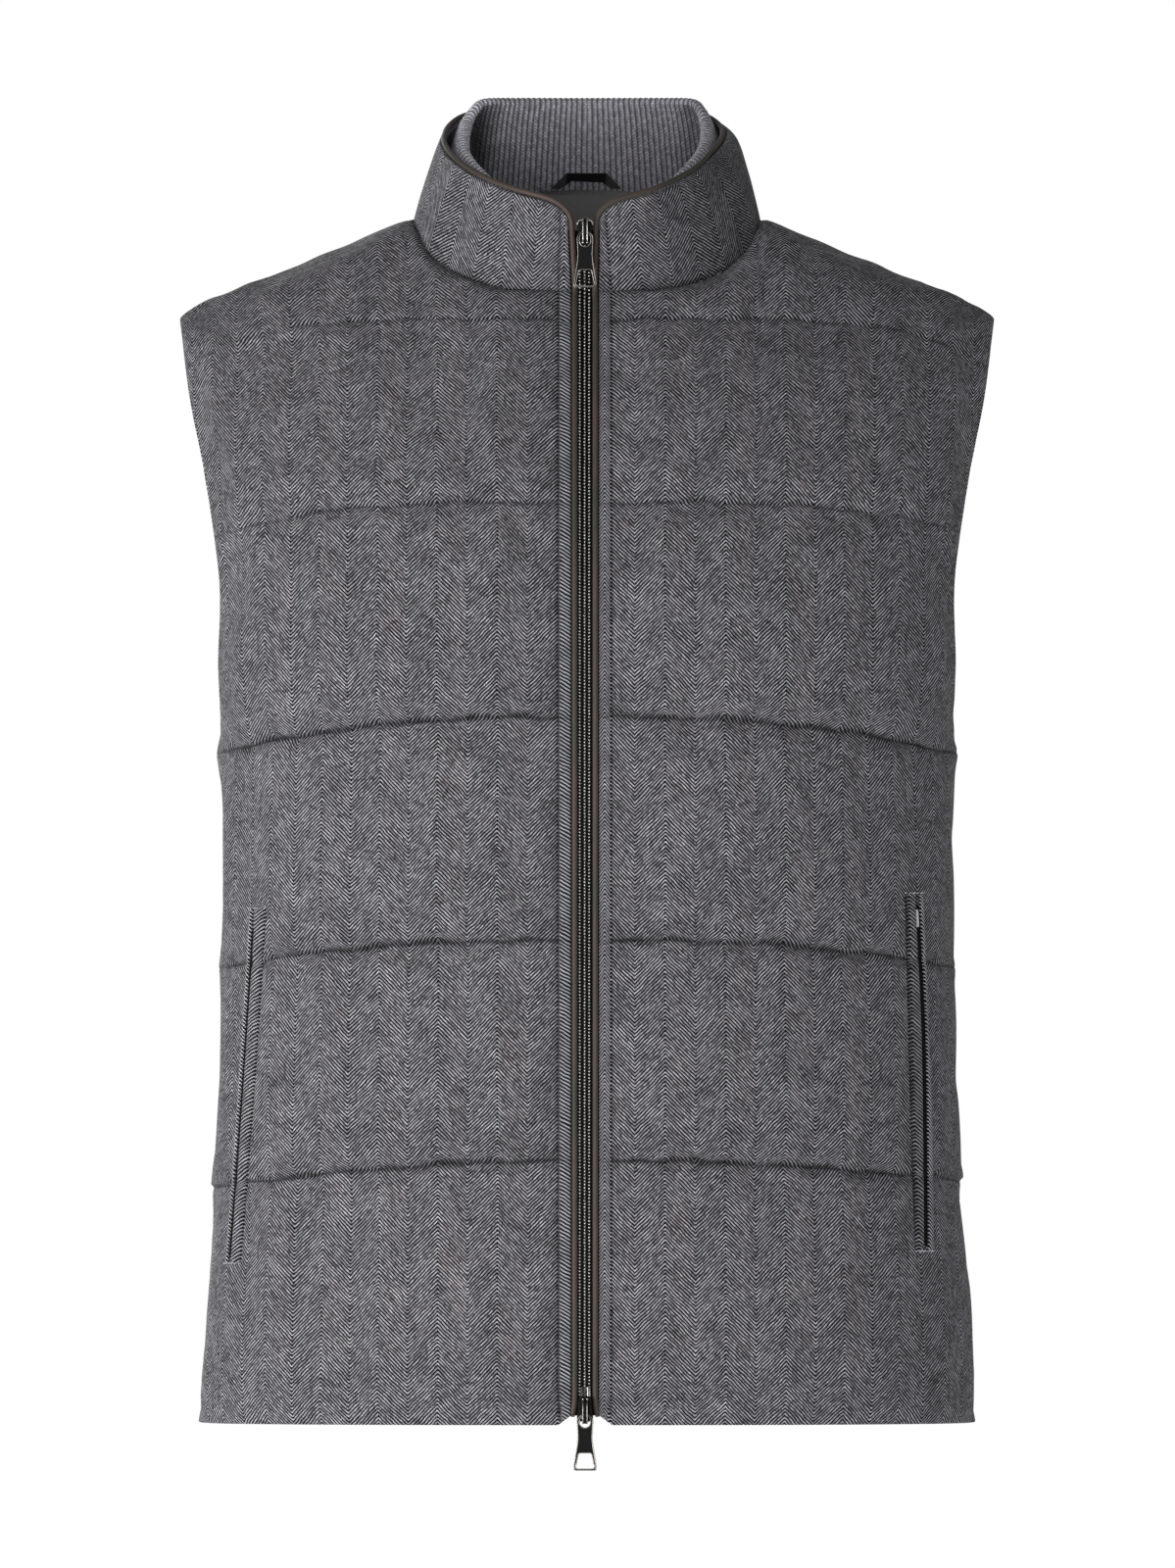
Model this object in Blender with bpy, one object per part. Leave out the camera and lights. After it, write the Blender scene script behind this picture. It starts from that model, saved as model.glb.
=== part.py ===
"""Quilted herringbone gilet with a ribbed inner collar and a two-way zip.

Metres, +Z up, front towards -Y, "left" is -X. The origin lies between the two
points where the shoulder seams meet the neck. The gilet keeps the hollow form
that it has on a wearer: every wall follows one torso worked out from TORSO.
"""
import math
from collections import namedtuple

import bmesh
import bpy
from mathutils import Vector
from mathutils.bvhtree import BVHTree

# ---------------------------------------------------------------- sizes
SEAM_GAP = 0.0003            # between two pieces that are sewn together
LINING_DEPTH = 0.0025        # wall thickness along a quilting line
PUFF = 0.0045                # how far the wadding stands out between lines
HEM_PUFF = 0.0015            # fullness left at the turned-in hem
NECK_HALF = 0.098            # side neck point, from the middle
NECK_FRONT_DROP = 0.041      # centre front of the neck seam, below the side neck point
NECK_FRONT_CURVE = (3.2, 0.6)    # exponents of the front neckline
NECK_BACK_RISE = 0.016       # centre back of the neck seam, above it
NECK_BACK_CURVE = 2.2
SHOULDER_SLOPE = 0.445       # fall of the shoulder seam, 24 degrees
RIDGE_ROUND = 0.030          # rounding of the shoulder line at the neck
SHOULDER_SWELL = 0.0014      # the padded shoulder stands this much above the neck point
SWELL_REACH = 0.006
FRONT_ROLL = (0.240, 2.0)    # height over which the chest rolls to the shoulder, and its bend
BACK_ROLL = (0.120, 3.2)
FULLNESS = 2.4               # exponent of the torso's cross-section
ZIP_X = -0.0011              # the zip runs a little left of the middle
EDGE_OFFSET = 0.0077         # from the zip's middle to a front panel's edge
BAND = 0.0073                # stitched band beside the front edge
PIPING_RADIUS = 0.0016
COLLAR_WALL = 0.0030
KNIT_HALF_WALL = 0.0025
CHAIN_HALF = 0.0033
TAPE_INNER = 0.0036
TAPE_OUTER = 0.0130
TAPE_BOW = 0.0018            # the tape's outer edge lies deeper, behind the curved wall
PULL_LENGTH = 0.0317
PULL_THICKNESS = 0.0012

Torso = namedtuple("Torso", "z half front back")
TORSO = (                    # height, half width, depth to the front and to the back
    Torso(-0.677, 0.2170, 0.1190, 0.1120),
    Torso(-0.604, 0.2132, 0.1195, 0.1095),
    Torso(-0.530, 0.2085, 0.1205, 0.1075),
    Torso(-0.460, 0.2055, 0.1220, 0.1060),
    Torso(-0.373, 0.2040, 0.1250, 0.1070),
    Torso(-0.301, 0.2060, 0.1285, 0.1110),
    Torso(-0.250, 0.2185, 0.1285, 0.1130),
    Torso(-0.200, 0.2230, 0.1255, 0.1135),
    Torso(-0.142, 0.2313, 0.1185, 0.1125),
    Torso(-0.100, 0.2380, 0.1120, 0.1080),
    Torso(-0.058, 0.2415, 0.1030, 0.0990),
    Torso(-0.010, 0.2430, 0.0960, 0.0850),
    Torso(0.040, 0.2440, 0.0920, 0.0700),
)

Armhole = namedtuple("Armhole", "z front back")
ARMHOLE = (                  # how far the edge stands in front of and behind the side
    Armhole(-0.301, 0.00, 0.00),
    Armhole(-0.290, 0.20, 0.19),
    Armhole(-0.272, 0.33, 0.31),
    Armhole(-0.250, 0.41, 0.39),
    Armhole(-0.220, 0.455, 0.44),
    Armhole(-0.180, 0.47, 0.455),
    Armhole(-0.130, 0.46, 0.44),
    Armhole(-0.090, 0.435, 0.42),
    Armhole(-0.050, 0.40, 0.40),
)

Quilt = namedtuple("Quilt", "z drop_left drop_right power rows")
QUILT = (                    # height at the zip, drop at each side, bend, rows above it
    Quilt(-0.6770, 0.0000, 0.0000, 2.0, 4),
    Quilt(-0.5285, 0.0150, 0.0110, 1.8, 3),
    Quilt(-0.4055, 0.0160, 0.0150, 2.6, 3),
    Quilt(-0.2805, 0.0205, 0.0205, 2.6, 5),
    Quilt(-0.1605, 0.0185, 0.0150, 3.5, 3),
    Quilt(-0.0580, 0.0165, 0.0165, 5.0, 6),
)
SIDE_REACH = 0.205           # where a line has its full drop
REACH_LIMIT = 1.15           # and how far past it the drop still grows
ROW_SPREAD = 1.4             # rows lie closer just above each line
YOKE_SPREAD = 1.5            # and just below the shoulder seam
SETTLE = 12                  # rounds in which a row's points settle on the torso

CollarTop = namedtuple("CollarTop", "left right y z")
COLLAR_TOP = (               # the outer collar's top edge, from the zip to the centre back
    CollarTop(0.0108, 0.0072, -0.0740, -0.0015),
    CollarTop(0.0138, 0.0103, -0.0742, 0.0035),
    CollarTop(0.0220, 0.0190, -0.0735, 0.0085),
    CollarTop(0.0400, 0.0369, -0.0670, 0.0135),
    CollarTop(0.0560, 0.0500, -0.0565, 0.0195),
    CollarTop(0.0702, 0.0632, -0.0425, 0.0275),
    CollarTop(0.0800, 0.0715, -0.0230, 0.0365),
    CollarTop(0.0828, 0.0775, -0.0040, 0.0440),
    CollarTop(0.0795, 0.0785, 0.0160, 0.0510),
    CollarTop(0.0690, 0.0705, 0.0335, 0.0570),
    CollarTop(0.0450, 0.0500, 0.0465, 0.0600),
    CollarTop(0.0000, 0.0000, 0.0520, 0.0610),
)
KNIT_TOP = (                 # middle of the knit collar's top fold
    CollarTop(0.0175, 0.0155, -0.0660, 0.0010),
    CollarTop(0.0350, 0.0330, -0.0600, 0.0080),
    CollarTop(0.0490, 0.0440, -0.0490, 0.0165),
    CollarTop(0.0600, 0.0540, -0.0360, 0.0265),
    CollarTop(0.0682, 0.0630, -0.0200, 0.0370),
    CollarTop(0.0696, 0.0668, -0.0030, 0.0460),
    CollarTop(0.0682, 0.0674, 0.0130, 0.0550),
    CollarTop(0.0610, 0.0620, 0.0265, 0.0640),
    CollarTop(0.0420, 0.0420, 0.0370, 0.0667),
    CollarTop(0.0000, 0.0000, 0.0420, 0.0668),
)

Slit = namedtuple("Slit", "z inner middle outer")
POCKET_LEFT = (              # distances from the middle, top to bottom
    Slit(-0.3875, 0.1797, 0.1860, 0.1890),
    Slit(-0.4500, 0.1837, 0.1899, 0.1928),
    Slit(-0.5150, 0.1883, 0.1944, 0.1972),
    Slit(-0.5870, 0.1941, 0.2000, 0.2028),
)
POCKET_RIGHT = (
    Slit(-0.3790, 0.1780, 0.1840, 0.1885),
    Slit(-0.4520, 0.1800, 0.1876, 0.1912),
    Slit(-0.5150, 0.1815, 0.1887, 0.1938),
    Slit(-0.5800, 0.1838, 0.1892, 0.1945),
)

# ---------------------------------------------------------------- the scene
for old in list(bpy.data.objects):
    bpy.data.objects.remove(old)
GILET = bpy.data.collections.new("quilted_gilet")
bpy.context.scene.collection.children.link(GILET)
TOOLS = bpy.data.collections.new("shaping_tools")
bpy.context.scene.collection.children.link(TOOLS)


def finish(name, color, roughness, metallic=0.0):
    """Give one material its colour, roughness and metallic value."""
    material = bpy.data.materials.new(name)
    material.use_nodes = True
    shader = material.node_tree.nodes["Principled BSDF"]
    shader.inputs["Base Color"].default_value = (*color, 1.0)
    shader.inputs["Roughness"].default_value = roughness
    shader.inputs["Metallic"].default_value = metallic
    material.diffuse_color = (*color, 1.0)
    return material


HERRINGBONE = ((0.12, 0.12, 0.13), 0.95)
KNIT = ((0.13, 0.125, 0.14), 0.95)
CORD = ((0.08, 0.068, 0.058), 0.8)
TAPE = ((0.012, 0.011, 0.011), 0.8)
METAL = ((0.08, 0.077, 0.072), 0.3, 1.0)


def add(name, mesh, look, collection=GILET):
    """Link a mesh as a named piece with a material of its own."""
    piece = bpy.data.objects.new(name, mesh)
    collection.objects.link(piece)
    if look:
        mesh.materials.append(finish(name + "_finish", *look))
    return piece


# ---------------------------------------------------------------- curves and tables
def follow(table, column, at):
    """One column of a table at height `at`, on a smooth curve through its rows."""
    keys = [row[0] for row in table]
    values = [getattr(row, column) for row in table]
    at = min(max(at, keys[0]), keys[-1])
    low = max(k for k in range(len(keys) - 1) if keys[k] <= at)

    def slope(k):
        before, after = max(k - 1, 0), min(k + 1, len(keys) - 1)
        return (values[after] - values[before]) / (keys[after] - keys[before])

    step = keys[low + 1] - keys[low]
    t = (at - keys[low]) / step
    rise = values[low + 1] - values[low]
    start, end = slope(low) * step, slope(low + 1) * step
    return values[low] + t * (start + t * (3 * rise - 2 * start - end + t * (start + end - 2 * rise)))


def smooth_path(points, per_span=8):
    """A finer path on a smooth curve through the points."""
    path = []
    for k in range(len(points) - 1):
        a, b = points[k], points[k + 1]
        before = points[k - 1] if k else a
        after = points[k + 2] if k + 2 < len(points) else b
        for j in range(per_span):
            t = j / per_span
            tangent_a, tangent_b = (b - before) / 2, (after - a) / 2
            path.append(a + t * (tangent_a + t * (3 * (b - a) - 2 * tangent_a - tangent_b
                                                  + t * (tangent_a + tangent_b - 2 * (b - a)))))
    return path + [points[-1].copy()]


def lengths(path):
    """Running length at each point of a path."""
    run = [0.0]
    for a, b in zip(path, path[1:]):
        run.append(run[-1] + (b - a).length)
    return run


def at_shares(path, shares):
    """Points of a path at given shares of its length."""
    run = lengths(path)
    points, k = [], 0
    for share in shares:
        want = min(max(share, 0.0), 1.0) * run[-1]
        while k < len(path) - 2 and run[k + 1] < want:
            k += 1
        t = (want - run[k]) / max(run[k + 1] - run[k], 1e-9)
        points.append(path[k].lerp(path[k + 1], min(max(t, 0.0), 1.0)))
    return points


# ---------------------------------------------------------------- the torso
def shoulder_line(x):
    """Height of the shoulder over x."""
    level = SHOULDER_SLOPE * math.hypot(NECK_HALF, RIDGE_ROUND)
    beyond = max(abs(x) - NECK_HALF, 0.0)
    swell = SHOULDER_SWELL * (1 - math.exp(-beyond / SWELL_REACH))
    return level - SHOULDER_SLOPE * math.hypot(x, RIDGE_ROUND) + swell


def neck_line(x, front):
    """Height of the neck seam over x."""
    part = min(abs(x) / NECK_HALF, 1.0)
    if front:
        flat, round_off = NECK_FRONT_CURVE
        return -NECK_FRONT_DROP * (1 - part ** flat) ** round_off
    return NECK_BACK_RISE * (1 - part ** NECK_BACK_CURVE)


def roll(x, z, front):
    """Share of the full depth that is left where the torso rolls over the shoulder."""
    height, bend = FRONT_ROLL if front else BACK_ROLL
    part = min(max((shoulder_line(x) - z) / height, 0.0), 1.0)
    return (1 - (1 - part) ** bend) ** (1 / bend)


def depth(x, z, front):
    """Distance of the torso's skin in front of or behind the side, at (x, z)."""
    half = follow(TORSO, "half", z)
    share = max(1 - (abs(x) / half) ** FULLNESS, 0.0) ** (1 / FULLNESS)
    return follow(TORSO, "front" if front else "back", z) * share * roll(x, z, front)


def skin(x, z, front):
    """Point of the torso's skin, seen from the front at (x, z)."""
    away = SEAM_GAP / 2 + depth(x, z, front)
    return Vector((x, -away if front else away, z))


def quilt_line(index, x):
    """Height of a quilting line over x."""
    row = QUILT[index]
    drop = row.drop_left if x < 0 else row.drop_right
    return row.z - drop * min(abs(x) / SIDE_REACH, REACH_LIMIT) ** row.power


def panel_rules(front):
    """The height rule of each row of a panel, hem to shoulder, with its place in a puff."""
    rules = []
    for index, row in enumerate(QUILT[:-1]):
        for step in range(row.rows):
            t = (step / row.rows) ** ROW_SPREAD
            rules.append((lambda x, i=index, t=t: quilt_line(i, x) * (1 - t) + quilt_line(i + 1, x) * t,
                          index, t))
    last = len(QUILT) - 1
    for step in range(QUILT[last].rows + 1):
        t = step / QUILT[last].rows
        left = (1 - t) ** YOKE_SPREAD

        def height(x, left=left):
            top = neck_line(x, front) if abs(x) < NECK_HALF else shoulder_line(x)
            return top - (top - quilt_line(last, x)) * left
        rules.append((height, last, t))
    return rules


def row_path(height, side, front, start, samples=90):
    """A row of a panel as a fine path, from x = start to the side seam or the armhole."""
    def solve(angle):
        x = side * start
        for _ in range(SETTLE):
            z = height(x)
            x = side * follow(TORSO, "half", z) * math.sin(angle) ** (2 / FULLNESS)
        return x, height(x)

    def edge_angle(z):
        if z <= ARMHOLE[0].z:
            return math.pi / 2
        return math.acos(max(follow(ARMHOLE, "front" if front else "back", z), 0.0) ** (FULLNESS / 2))

    end = math.pi / 2
    for _ in range(SETTLE):
        end = edge_angle(solve(end)[1])
    z = height(side * start)
    first = math.asin((start / follow(TORSO, "half", z)) ** (FULLNESS / 2))
    path = []
    for k in range(samples + 1):
        angle = first + (end - first) * k / samples
        x, z = solve(angle)
        if k == 0:
            x, z = side * start, height(side * start)
        half_depth = follow(TORSO, "front" if front else "back", z)
        away = half_depth * max(math.cos(angle), 0.0) ** (2 / FULLNESS) * roll(x, z, front)
        away += SEAM_GAP / 2
        path.append(Vector((x, -away if front else away, z)))
    return path


def neck_split(path, neck_cells, cells):
    """Shares along a top row that put one vertex on the side neck point."""
    run = lengths(path)
    neck = next(run[k] for k, p in enumerate(path) if abs(p.x) >= NECK_HALF - 1e-6) / run[-1]
    shares = [neck * k / neck_cells for k in range(neck_cells)]
    rest = cells - neck_cells
    return shares + [neck + (1 - neck) * k / rest for k in range(rest + 1)]


def half_panel(side, front, start, cells, neck_cells):
    """Grid of a half panel (hem row first, middle column first), with each row's puff place."""
    rules = panel_rules(front)
    top_path = row_path(rules[-1][0], side, front, start, samples=400)
    top_shares = neck_split(top_path, neck_cells, cells)
    grid = []
    for height, index, t in rules:
        path = row_path(height, side, front, start)
        even = [k / cells for k in range(cells + 1)]
        if front:
            run = lengths(path)[-1]
            even = [0.0] + [(BAND + (run - BAND) * k / (cells - 1)) / run for k in range(cells)]
        blend = t * t if index == len(QUILT) - 1 else 0.0
        shares = [a * (1 - blend) + b * blend for a, b in zip(even, top_shares)]
        grid.append(at_shares(top_path if t == 1.0 else path, shares))
    return grid, [(index, t) for _, index, t in rules]


OUTWARD_LIFT = 0.12          # outward is away from the middle, and up near the neck


def normals(grid, flat_edges=()):
    """Outward unit normals of a grid; an edge named in flat_edges has none across its seam."""
    rows, columns = len(grid), len(grid[0])
    result = []
    for j in range(rows):
        line = []
        for i in range(columns):
            up = grid[min(j + 1, rows - 1)][i] - grid[max(j - 1, 0)][i]
            along = grid[j][min(i + 1, columns - 1)] - grid[j][max(i - 1, 0)]
            normal = up.cross(along).normalized()
            point = grid[j][i]
            if normal.dot(Vector((point.x, point.y, OUTWARD_LIFT))) < 0:
                normal.negate()
            for edge, axis in flat_edges:
                if edge(j, i):
                    normal[axis] = 0.0
                    normal.normalize()
            line.append(normal)
        result.append(line)
    return result


def wall(name, outer, inner, look):
    """A closed wall between two grids of the same size."""
    rows, columns = len(outer), len(outer[0])
    points = [p for line in outer for p in line] + [p for line in inner for p in line]
    half = rows * columns
    faces = []
    for j in range(rows - 1):
        for i in range(columns - 1):
            a, b = j * columns + i, j * columns + i + 1
            c, d = b + columns, a + columns
            faces += [(a, b, c, d), (half + d, half + c, half + b, half + a)]
    ring = [(0, i) for i in range(columns - 1)] + [(j, columns - 1) for j in range(rows - 1)]
    ring += [(rows - 1, i) for i in range(columns - 1, 0, -1)] + [(j, 0) for j in range(rows - 1, 0, -1)]
    marks = [j * columns + i for j, i in ring]
    for a, b in zip(marks, marks[1:] + marks[:1]):
        faces.append((b, a, half + a, half + b))
    mesh = bpy.data.meshes.new(name)
    mesh.from_pydata(points, [], faces)
    work = bmesh.new()
    work.from_mesh(mesh)
    bmesh.ops.recalc_face_normals(work, faces=work.faces)
    work.to_mesh(mesh)
    work.free()
    return add(name, mesh, look)


# ---------------------------------------------------------------- front and back panels
PUFF_BELOW, PUFF_ABOVE = 0.35, 0.80      # the wadding sags, so a puff is fullest low down
FRONT_PINCH, SIDE_PINCH = 0.012, 0.014


def puff_shape(t):
    """Fullness at a share of the way up from one line to the next, 1 at its most."""
    peak = PUFF_BELOW / (PUFF_BELOW + PUFF_ABOVE)
    return (t / peak) ** PUFF_BELOW * ((1 - t) / (1 - peak)) ** PUFF_ABOVE


def puff_height(t, from_front, from_side, at_hem):
    """How far the wadding stands out at one point of a panel."""
    least = HEM_PUFF if at_hem else 0.0
    pinch = (1 - math.exp(-from_front / FRONT_PINCH)) * (1 - math.exp(-from_side / SIDE_PINCH))
    return max(PUFF * puff_shape(t) * pinch, least)


def quilted_panel(name, grid, places, flat_edges, front):
    """The padded wall of one panel: thin along the lines, full between them."""
    facing = normals(grid, flat_edges)
    outer, inner = [], []
    for j, line in enumerate(grid):
        run = lengths(line)
        outer_line, inner_line = [], []
        for i, point in enumerate(line):
            from_front = max(run[i] - BAND, 0.0) if front else run[i]
            puff = puff_height(places[j][1], from_front, run[-1] - run[i], j < 2)
            outer_line.append(point + facing[j][i] * puff)
            inner_line.append(point - facing[j][i] * LINING_DEPTH)
        outer.append(outer_line)
        inner.append(inner_line)
    return wall(name, outer, inner, HERRINGBONE)


FRONT_CELLS, FRONT_NECK_CELLS = 14, 7
BACK_CELLS, BACK_NECK_CELLS = 10, 5
SIDE_SEAM_TOP = ARMHOLE[0].z + 0.004
neck_front = {}
for side, name in ((-1, "front_left"), (1, "front_right")):
    start = abs(ZIP_X + side * EDGE_OFFSET)
    grid, places = half_panel(side, True, start, FRONT_CELLS, FRONT_NECK_CELLS)
    top = len(grid) - 1
    seams = (
        (lambda j, i: i == 0, 0),
        (lambda j, i, g=grid: i == FRONT_CELLS and g[j][i].z < SIDE_SEAM_TOP, 1),
        (lambda j, i, top=top: j == top and i >= FRONT_NECK_CELLS, 1),
    )
    quilted_panel(name, grid, places, seams, True)
    neck_front[side] = [p.copy() for p in grid[top][:FRONT_NECK_CELLS + 1]]

halves = {side: half_panel(side, False, 1e-6, BACK_CELLS, BACK_NECK_CELLS) for side in (-1, 1)}
back_grid = [line_left[:0:-1] + line_right
             for line_left, line_right in zip(halves[-1][0], halves[1][0])]
back_top = len(back_grid) - 1
back_seams = (
    (lambda j, i: i in (0, 2 * BACK_CELLS) and back_grid[j][i].z < SIDE_SEAM_TOP, 1),
    (lambda j, i: j == back_top and abs(i - BACK_CELLS) >= BACK_NECK_CELLS, 1),
)
quilted_panel("back", back_grid, halves[1][1], back_seams, False)
neck_back = {side: [p.copy() for p in halves[side][0][-1][:BACK_NECK_CELLS + 1]] for side in (-1, 1)}

# ---------------------------------------------------------------- collars
def half_loop(side):
    """The neck seam from the zip to the centre back on one side."""
    return neck_front[side] + neck_back[side][-2::-1]


def top_loop(table, side):
    """A collar's top edge from the zip to the centre back on one side, as a fine path."""
    column = "left" if side < 0 else "right"
    points = [Vector((side * getattr(row, column), row.y, row.z)) for row in table]
    return smooth_path(points)


def whole(left, right):
    """Join two half rows, zip to centre back, into one row from left zip to right zip."""
    return left + right[-2::-1]


def shares_of(points):
    run = lengths(points)
    return [r / run[-1] for r in run]


COLLAR_GAP = 2 * SEAM_GAP    # the neck seam is steep beside the shoulder
Swell = namedtuple("Swell", "rise left right")
COLLAR_SWELL = (             # the collar's bulge; on the right its top edge turns in
    Swell(0.00, 0.0000, 0.0000),
    Swell(0.30, 0.0002, 0.0018),
    Swell(0.60, 0.0002, 0.0038),
    Swell(0.85, 0.0002, 0.0057),
    Swell(0.94, 0.0001, 0.0047),
    Swell(1.00, 0.0000, 0.0000),
)
COLLAR_SIDE = 0.09           # the bulge fades towards the front over this distance
collar_rows = []
for rise, *swells in COLLAR_SWELL:
    sides = []
    for side, swell in zip((-1, 1), swells):
        bottom = half_loop(side)
        tops = at_shares(top_loop(COLLAR_TOP, side), shares_of(bottom))
        line = []
        for low, high in zip(bottom, tops):
            point = low.lerp(high, rise) + Vector((0, 0, COLLAR_GAP * (1 - rise)))
            point.x += side * swell * min(abs(point.x) / COLLAR_SIDE, 1.0) ** 3
            line.append(point)
        sides.append(line)
    collar_rows.append(whole(*sides))
collar_last = len(collar_rows[0]) - 1
collar_facing = normals(collar_rows, ((lambda j, i: i in (0, collar_last), 0),))
collar_inner = [[p - n * COLLAR_WALL for p, n in zip(line, facing)]
                for line, facing in zip(collar_rows, collar_facing)]
wall("collar", collar_rows, collar_inner, HERRINGBONE)

KNIT_CLEAR = COLLAR_WALL + KNIT_HALF_WALL + 0.0024
KNIT_LIFT = 0.0012
KNIT_START = 0.0125          # the knit ends this far beside the zip
NECK_DEPTH = 0.065
KNIT_RISE = ((0.0, 1.0), (0.25, 1.0), (0.5, 1.05), (0.75, 1.15), (0.9, 1.2), (0.97, 0.95), (1.0, 0.3))
KNIT_COLUMNS = 13
knit_rows = []
for rise, _ in KNIT_RISE:
    sides = []
    for side in (-1, 1):
        seam = half_loop(side)
        start_share = KNIT_START / lengths(seam)[-1]
        spread = [start_share + (1 - start_share) * k / (KNIT_COLUMNS - 1) for k in range(KNIT_COLUMNS)]
        lows = at_shares(seam, spread)
        highs = at_shares(top_loop(KNIT_TOP, side), [k / (KNIT_COLUMNS - 1) for k in range(KNIT_COLUMNS)])
        line = []
        for low, high in zip(lows, highs):
            inward = Vector((-low.x / NECK_HALF, -low.y / NECK_DEPTH, 0)).normalized()
            foot = low + inward * KNIT_CLEAR + Vector((0, 0, KNIT_LIFT))
            line.append(foot.lerp(high, rise))
        sides.append(line)
    knit_rows.append(whole(*sides))
knit_facing = normals(knit_rows)
knit_outer, knit_inner = [], []
for line, facing, (_, full) in zip(knit_rows, knit_facing, KNIT_RISE):
    knit_outer.append([p + n * KNIT_HALF_WALL * full for p, n in zip(line, facing)])
    knit_inner.append([p - n * KNIT_HALF_WALL * full for p, n in zip(line, facing)])
wall("collar_knit", knit_outer, knit_inner, KNIT)

# ---------------------------------------------------------------- the front edge and the zip
TOP_Z = COLLAR_TOP[0].z
NECK_Z = -NECK_FRONT_DROP
HEM_Z = QUILT[0].z


def front_depth(z):
    """How far the front edge lies before the side seams, at a height."""
    seam = depth(EDGE_OFFSET, NECK_Z, True)
    if z > NECK_Z:
        t = min((z - NECK_Z) / (TOP_Z - NECK_Z), 1.0)
        return seam + (-COLLAR_TOP[0].y - seam) * t
    return depth(EDGE_OFFSET, z, True)


SLOPE_STEP = 0.004


def on_zip(z, across, inside):
    """A point beside the zip's middle, `inside` the front edge's skin."""
    low, high = front_depth(z - SLOPE_STEP), front_depth(z + SLOPE_STEP)
    normal = Vector((0, -2 * SLOPE_STEP, low - high)).normalized()
    if normal.y > 0:
        normal.negate()
    return Vector((ZIP_X + across, -front_depth(z), z)) - normal * inside


def strip(name, low, high, across, inside, look, sections=26, bow=0.0):
    """A strip that follows the zip between two heights, its far edge `bow` deeper."""
    heights = [low + (high - low) * k / sections for k in range(sections + 1)]
    if low < NECK_Z < high:
        nearest = min(range(1, sections), key=lambda k: abs(heights[k] - NECK_Z))
        heights[nearest] = NECK_Z
    bows = [bow * (abs(a) / TAPE_OUTER) ** 2 for a in across]
    outer = [[on_zip(z, a, inside[0] + deep) for a, deep in zip(across, bows)] for z in heights]
    inner = [[on_zip(z, a, inside[1] + deep) for a, deep in zip(across, bows)] for z in heights]
    return wall(name, outer, inner, look)


TAPE_DEPTH = (0.0034, 0.0043)
TAPE_BOTTOM, TAPE_TOP = HEM_Z + 0.002, TOP_Z - 0.006
CHAIN_DEPTH = (0.0026, 0.0049)
CHAIN_BOTTOM, CHAIN_TOP = -0.6690, -0.0060
PIN_DEPTH = (0.0014, 0.0023)
PIN_BOTTOM, PIN_TOP = -0.6610, -0.6554
PIN_ACROSS = (0.0006, 0.0029)
for side, ending in ((-1, "left"), (1, "right")):
    across = (side * TAPE_INNER, side * (TAPE_INNER + TAPE_OUTER) / 2, side * TAPE_OUTER)
    strip("zip_tape_" + ending, TAPE_BOTTOM, TAPE_TOP, across, TAPE_DEPTH, TAPE, bow=TAPE_BOW)
    across = [side * a for a in PIN_ACROSS]
    strip("zip_pin_" + ending, PIN_BOTTOM, PIN_TOP, across, PIN_DEPTH, METAL, sections=1)
strip("zip_chain", CHAIN_BOTTOM, CHAIN_TOP, (-CHAIN_HALF, CHAIN_HALF), CHAIN_DEPTH, METAL)

# ---------------------------------------------------------------- piping
def tube(name, path, radius, look, sides_level=2):
    """A round cord along a path, as a curve with filled caps."""
    curve = bpy.data.curves.new(name, "CURVE")
    curve.dimensions = "3D"
    curve.bevel_depth = radius
    curve.bevel_resolution = sides_level
    curve.use_fill_caps = True
    spline = curve.splines.new("POLY")
    spline.points.add(len(path) - 1)
    for place, point in zip(spline.points, path):
        place.co = (*point, 1.0)
    piece = bpy.data.objects.new(name, curve)
    GILET.objects.link(piece)
    curve.materials.append(finish(name + "_finish", *look))
    return piece


PIPING_ACROSS = EDGE_OFFSET - SEAM_GAP - PIPING_RADIUS
PIPING_INSIDE = 0.0012
PIPING_SEAT = PIPING_RADIUS + 0.0005     # from a collar edge to the piping's middle
PIPING_CELLS = 17            # along one front edge


def edge_run(side):
    """The piping's middle up one front edge, to the neck seam."""
    low, high = HEM_Z + 0.001, NECK_Z - 0.004
    heights = [low + (high - low) * k / PIPING_CELLS for k in range(PIPING_CELLS + 1)]
    return [on_zip(z, side * PIPING_ACROSS, PIPING_INSIDE) for z in heights]


def collar_run(side):
    """The piping's middle up the collar's front edge and along its top to the centre back."""
    first, step = (0, 1) if side < 0 else (collar_last, -1)
    columns = [first + step * k for k in range(collar_last // 2 + 1)]
    middles = [[outer[i].lerp(inner[i], 0.5) for i in columns]
               for outer, inner in zip(collar_rows, collar_inner)]
    run = [row[0] + Vector((-side * PIPING_SEAT, 0, 0)) for row in middles[:-1]]
    top = middles[-1]
    for k, point in enumerate(top):
        tangent = top[min(k + 1, len(top) - 1)] - top[max(k - 1, 0)]
        if k == 0:
            tangent = (top[1] - top[0]).normalized() + Vector((0, 0, 1))
        normal = collar_facing[-1][columns[k]]
        away = normal.cross(tangent).normalized()
        if away.z < 0 or (k == 0 and away.x * side > 0):
            away.negate()
        run.append(point + away * PIPING_SEAT)
    return run


left_run, right_run = (edge_run(side) + collar_run(side) for side in (-1, 1))
right_run[-1] = left_run[-1]
tube("piping", left_run + right_run[-2::-1], PIPING_RADIUS, CORD)

# ---------------------------------------------------------------- pockets
def panel_tree(name):
    piece = bpy.data.objects[name]
    points = [v.co.copy() for v in piece.data.vertices]
    return BVHTree.FromPolygons(points, [tuple(p.vertices) for p in piece.data.polygons])


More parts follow.
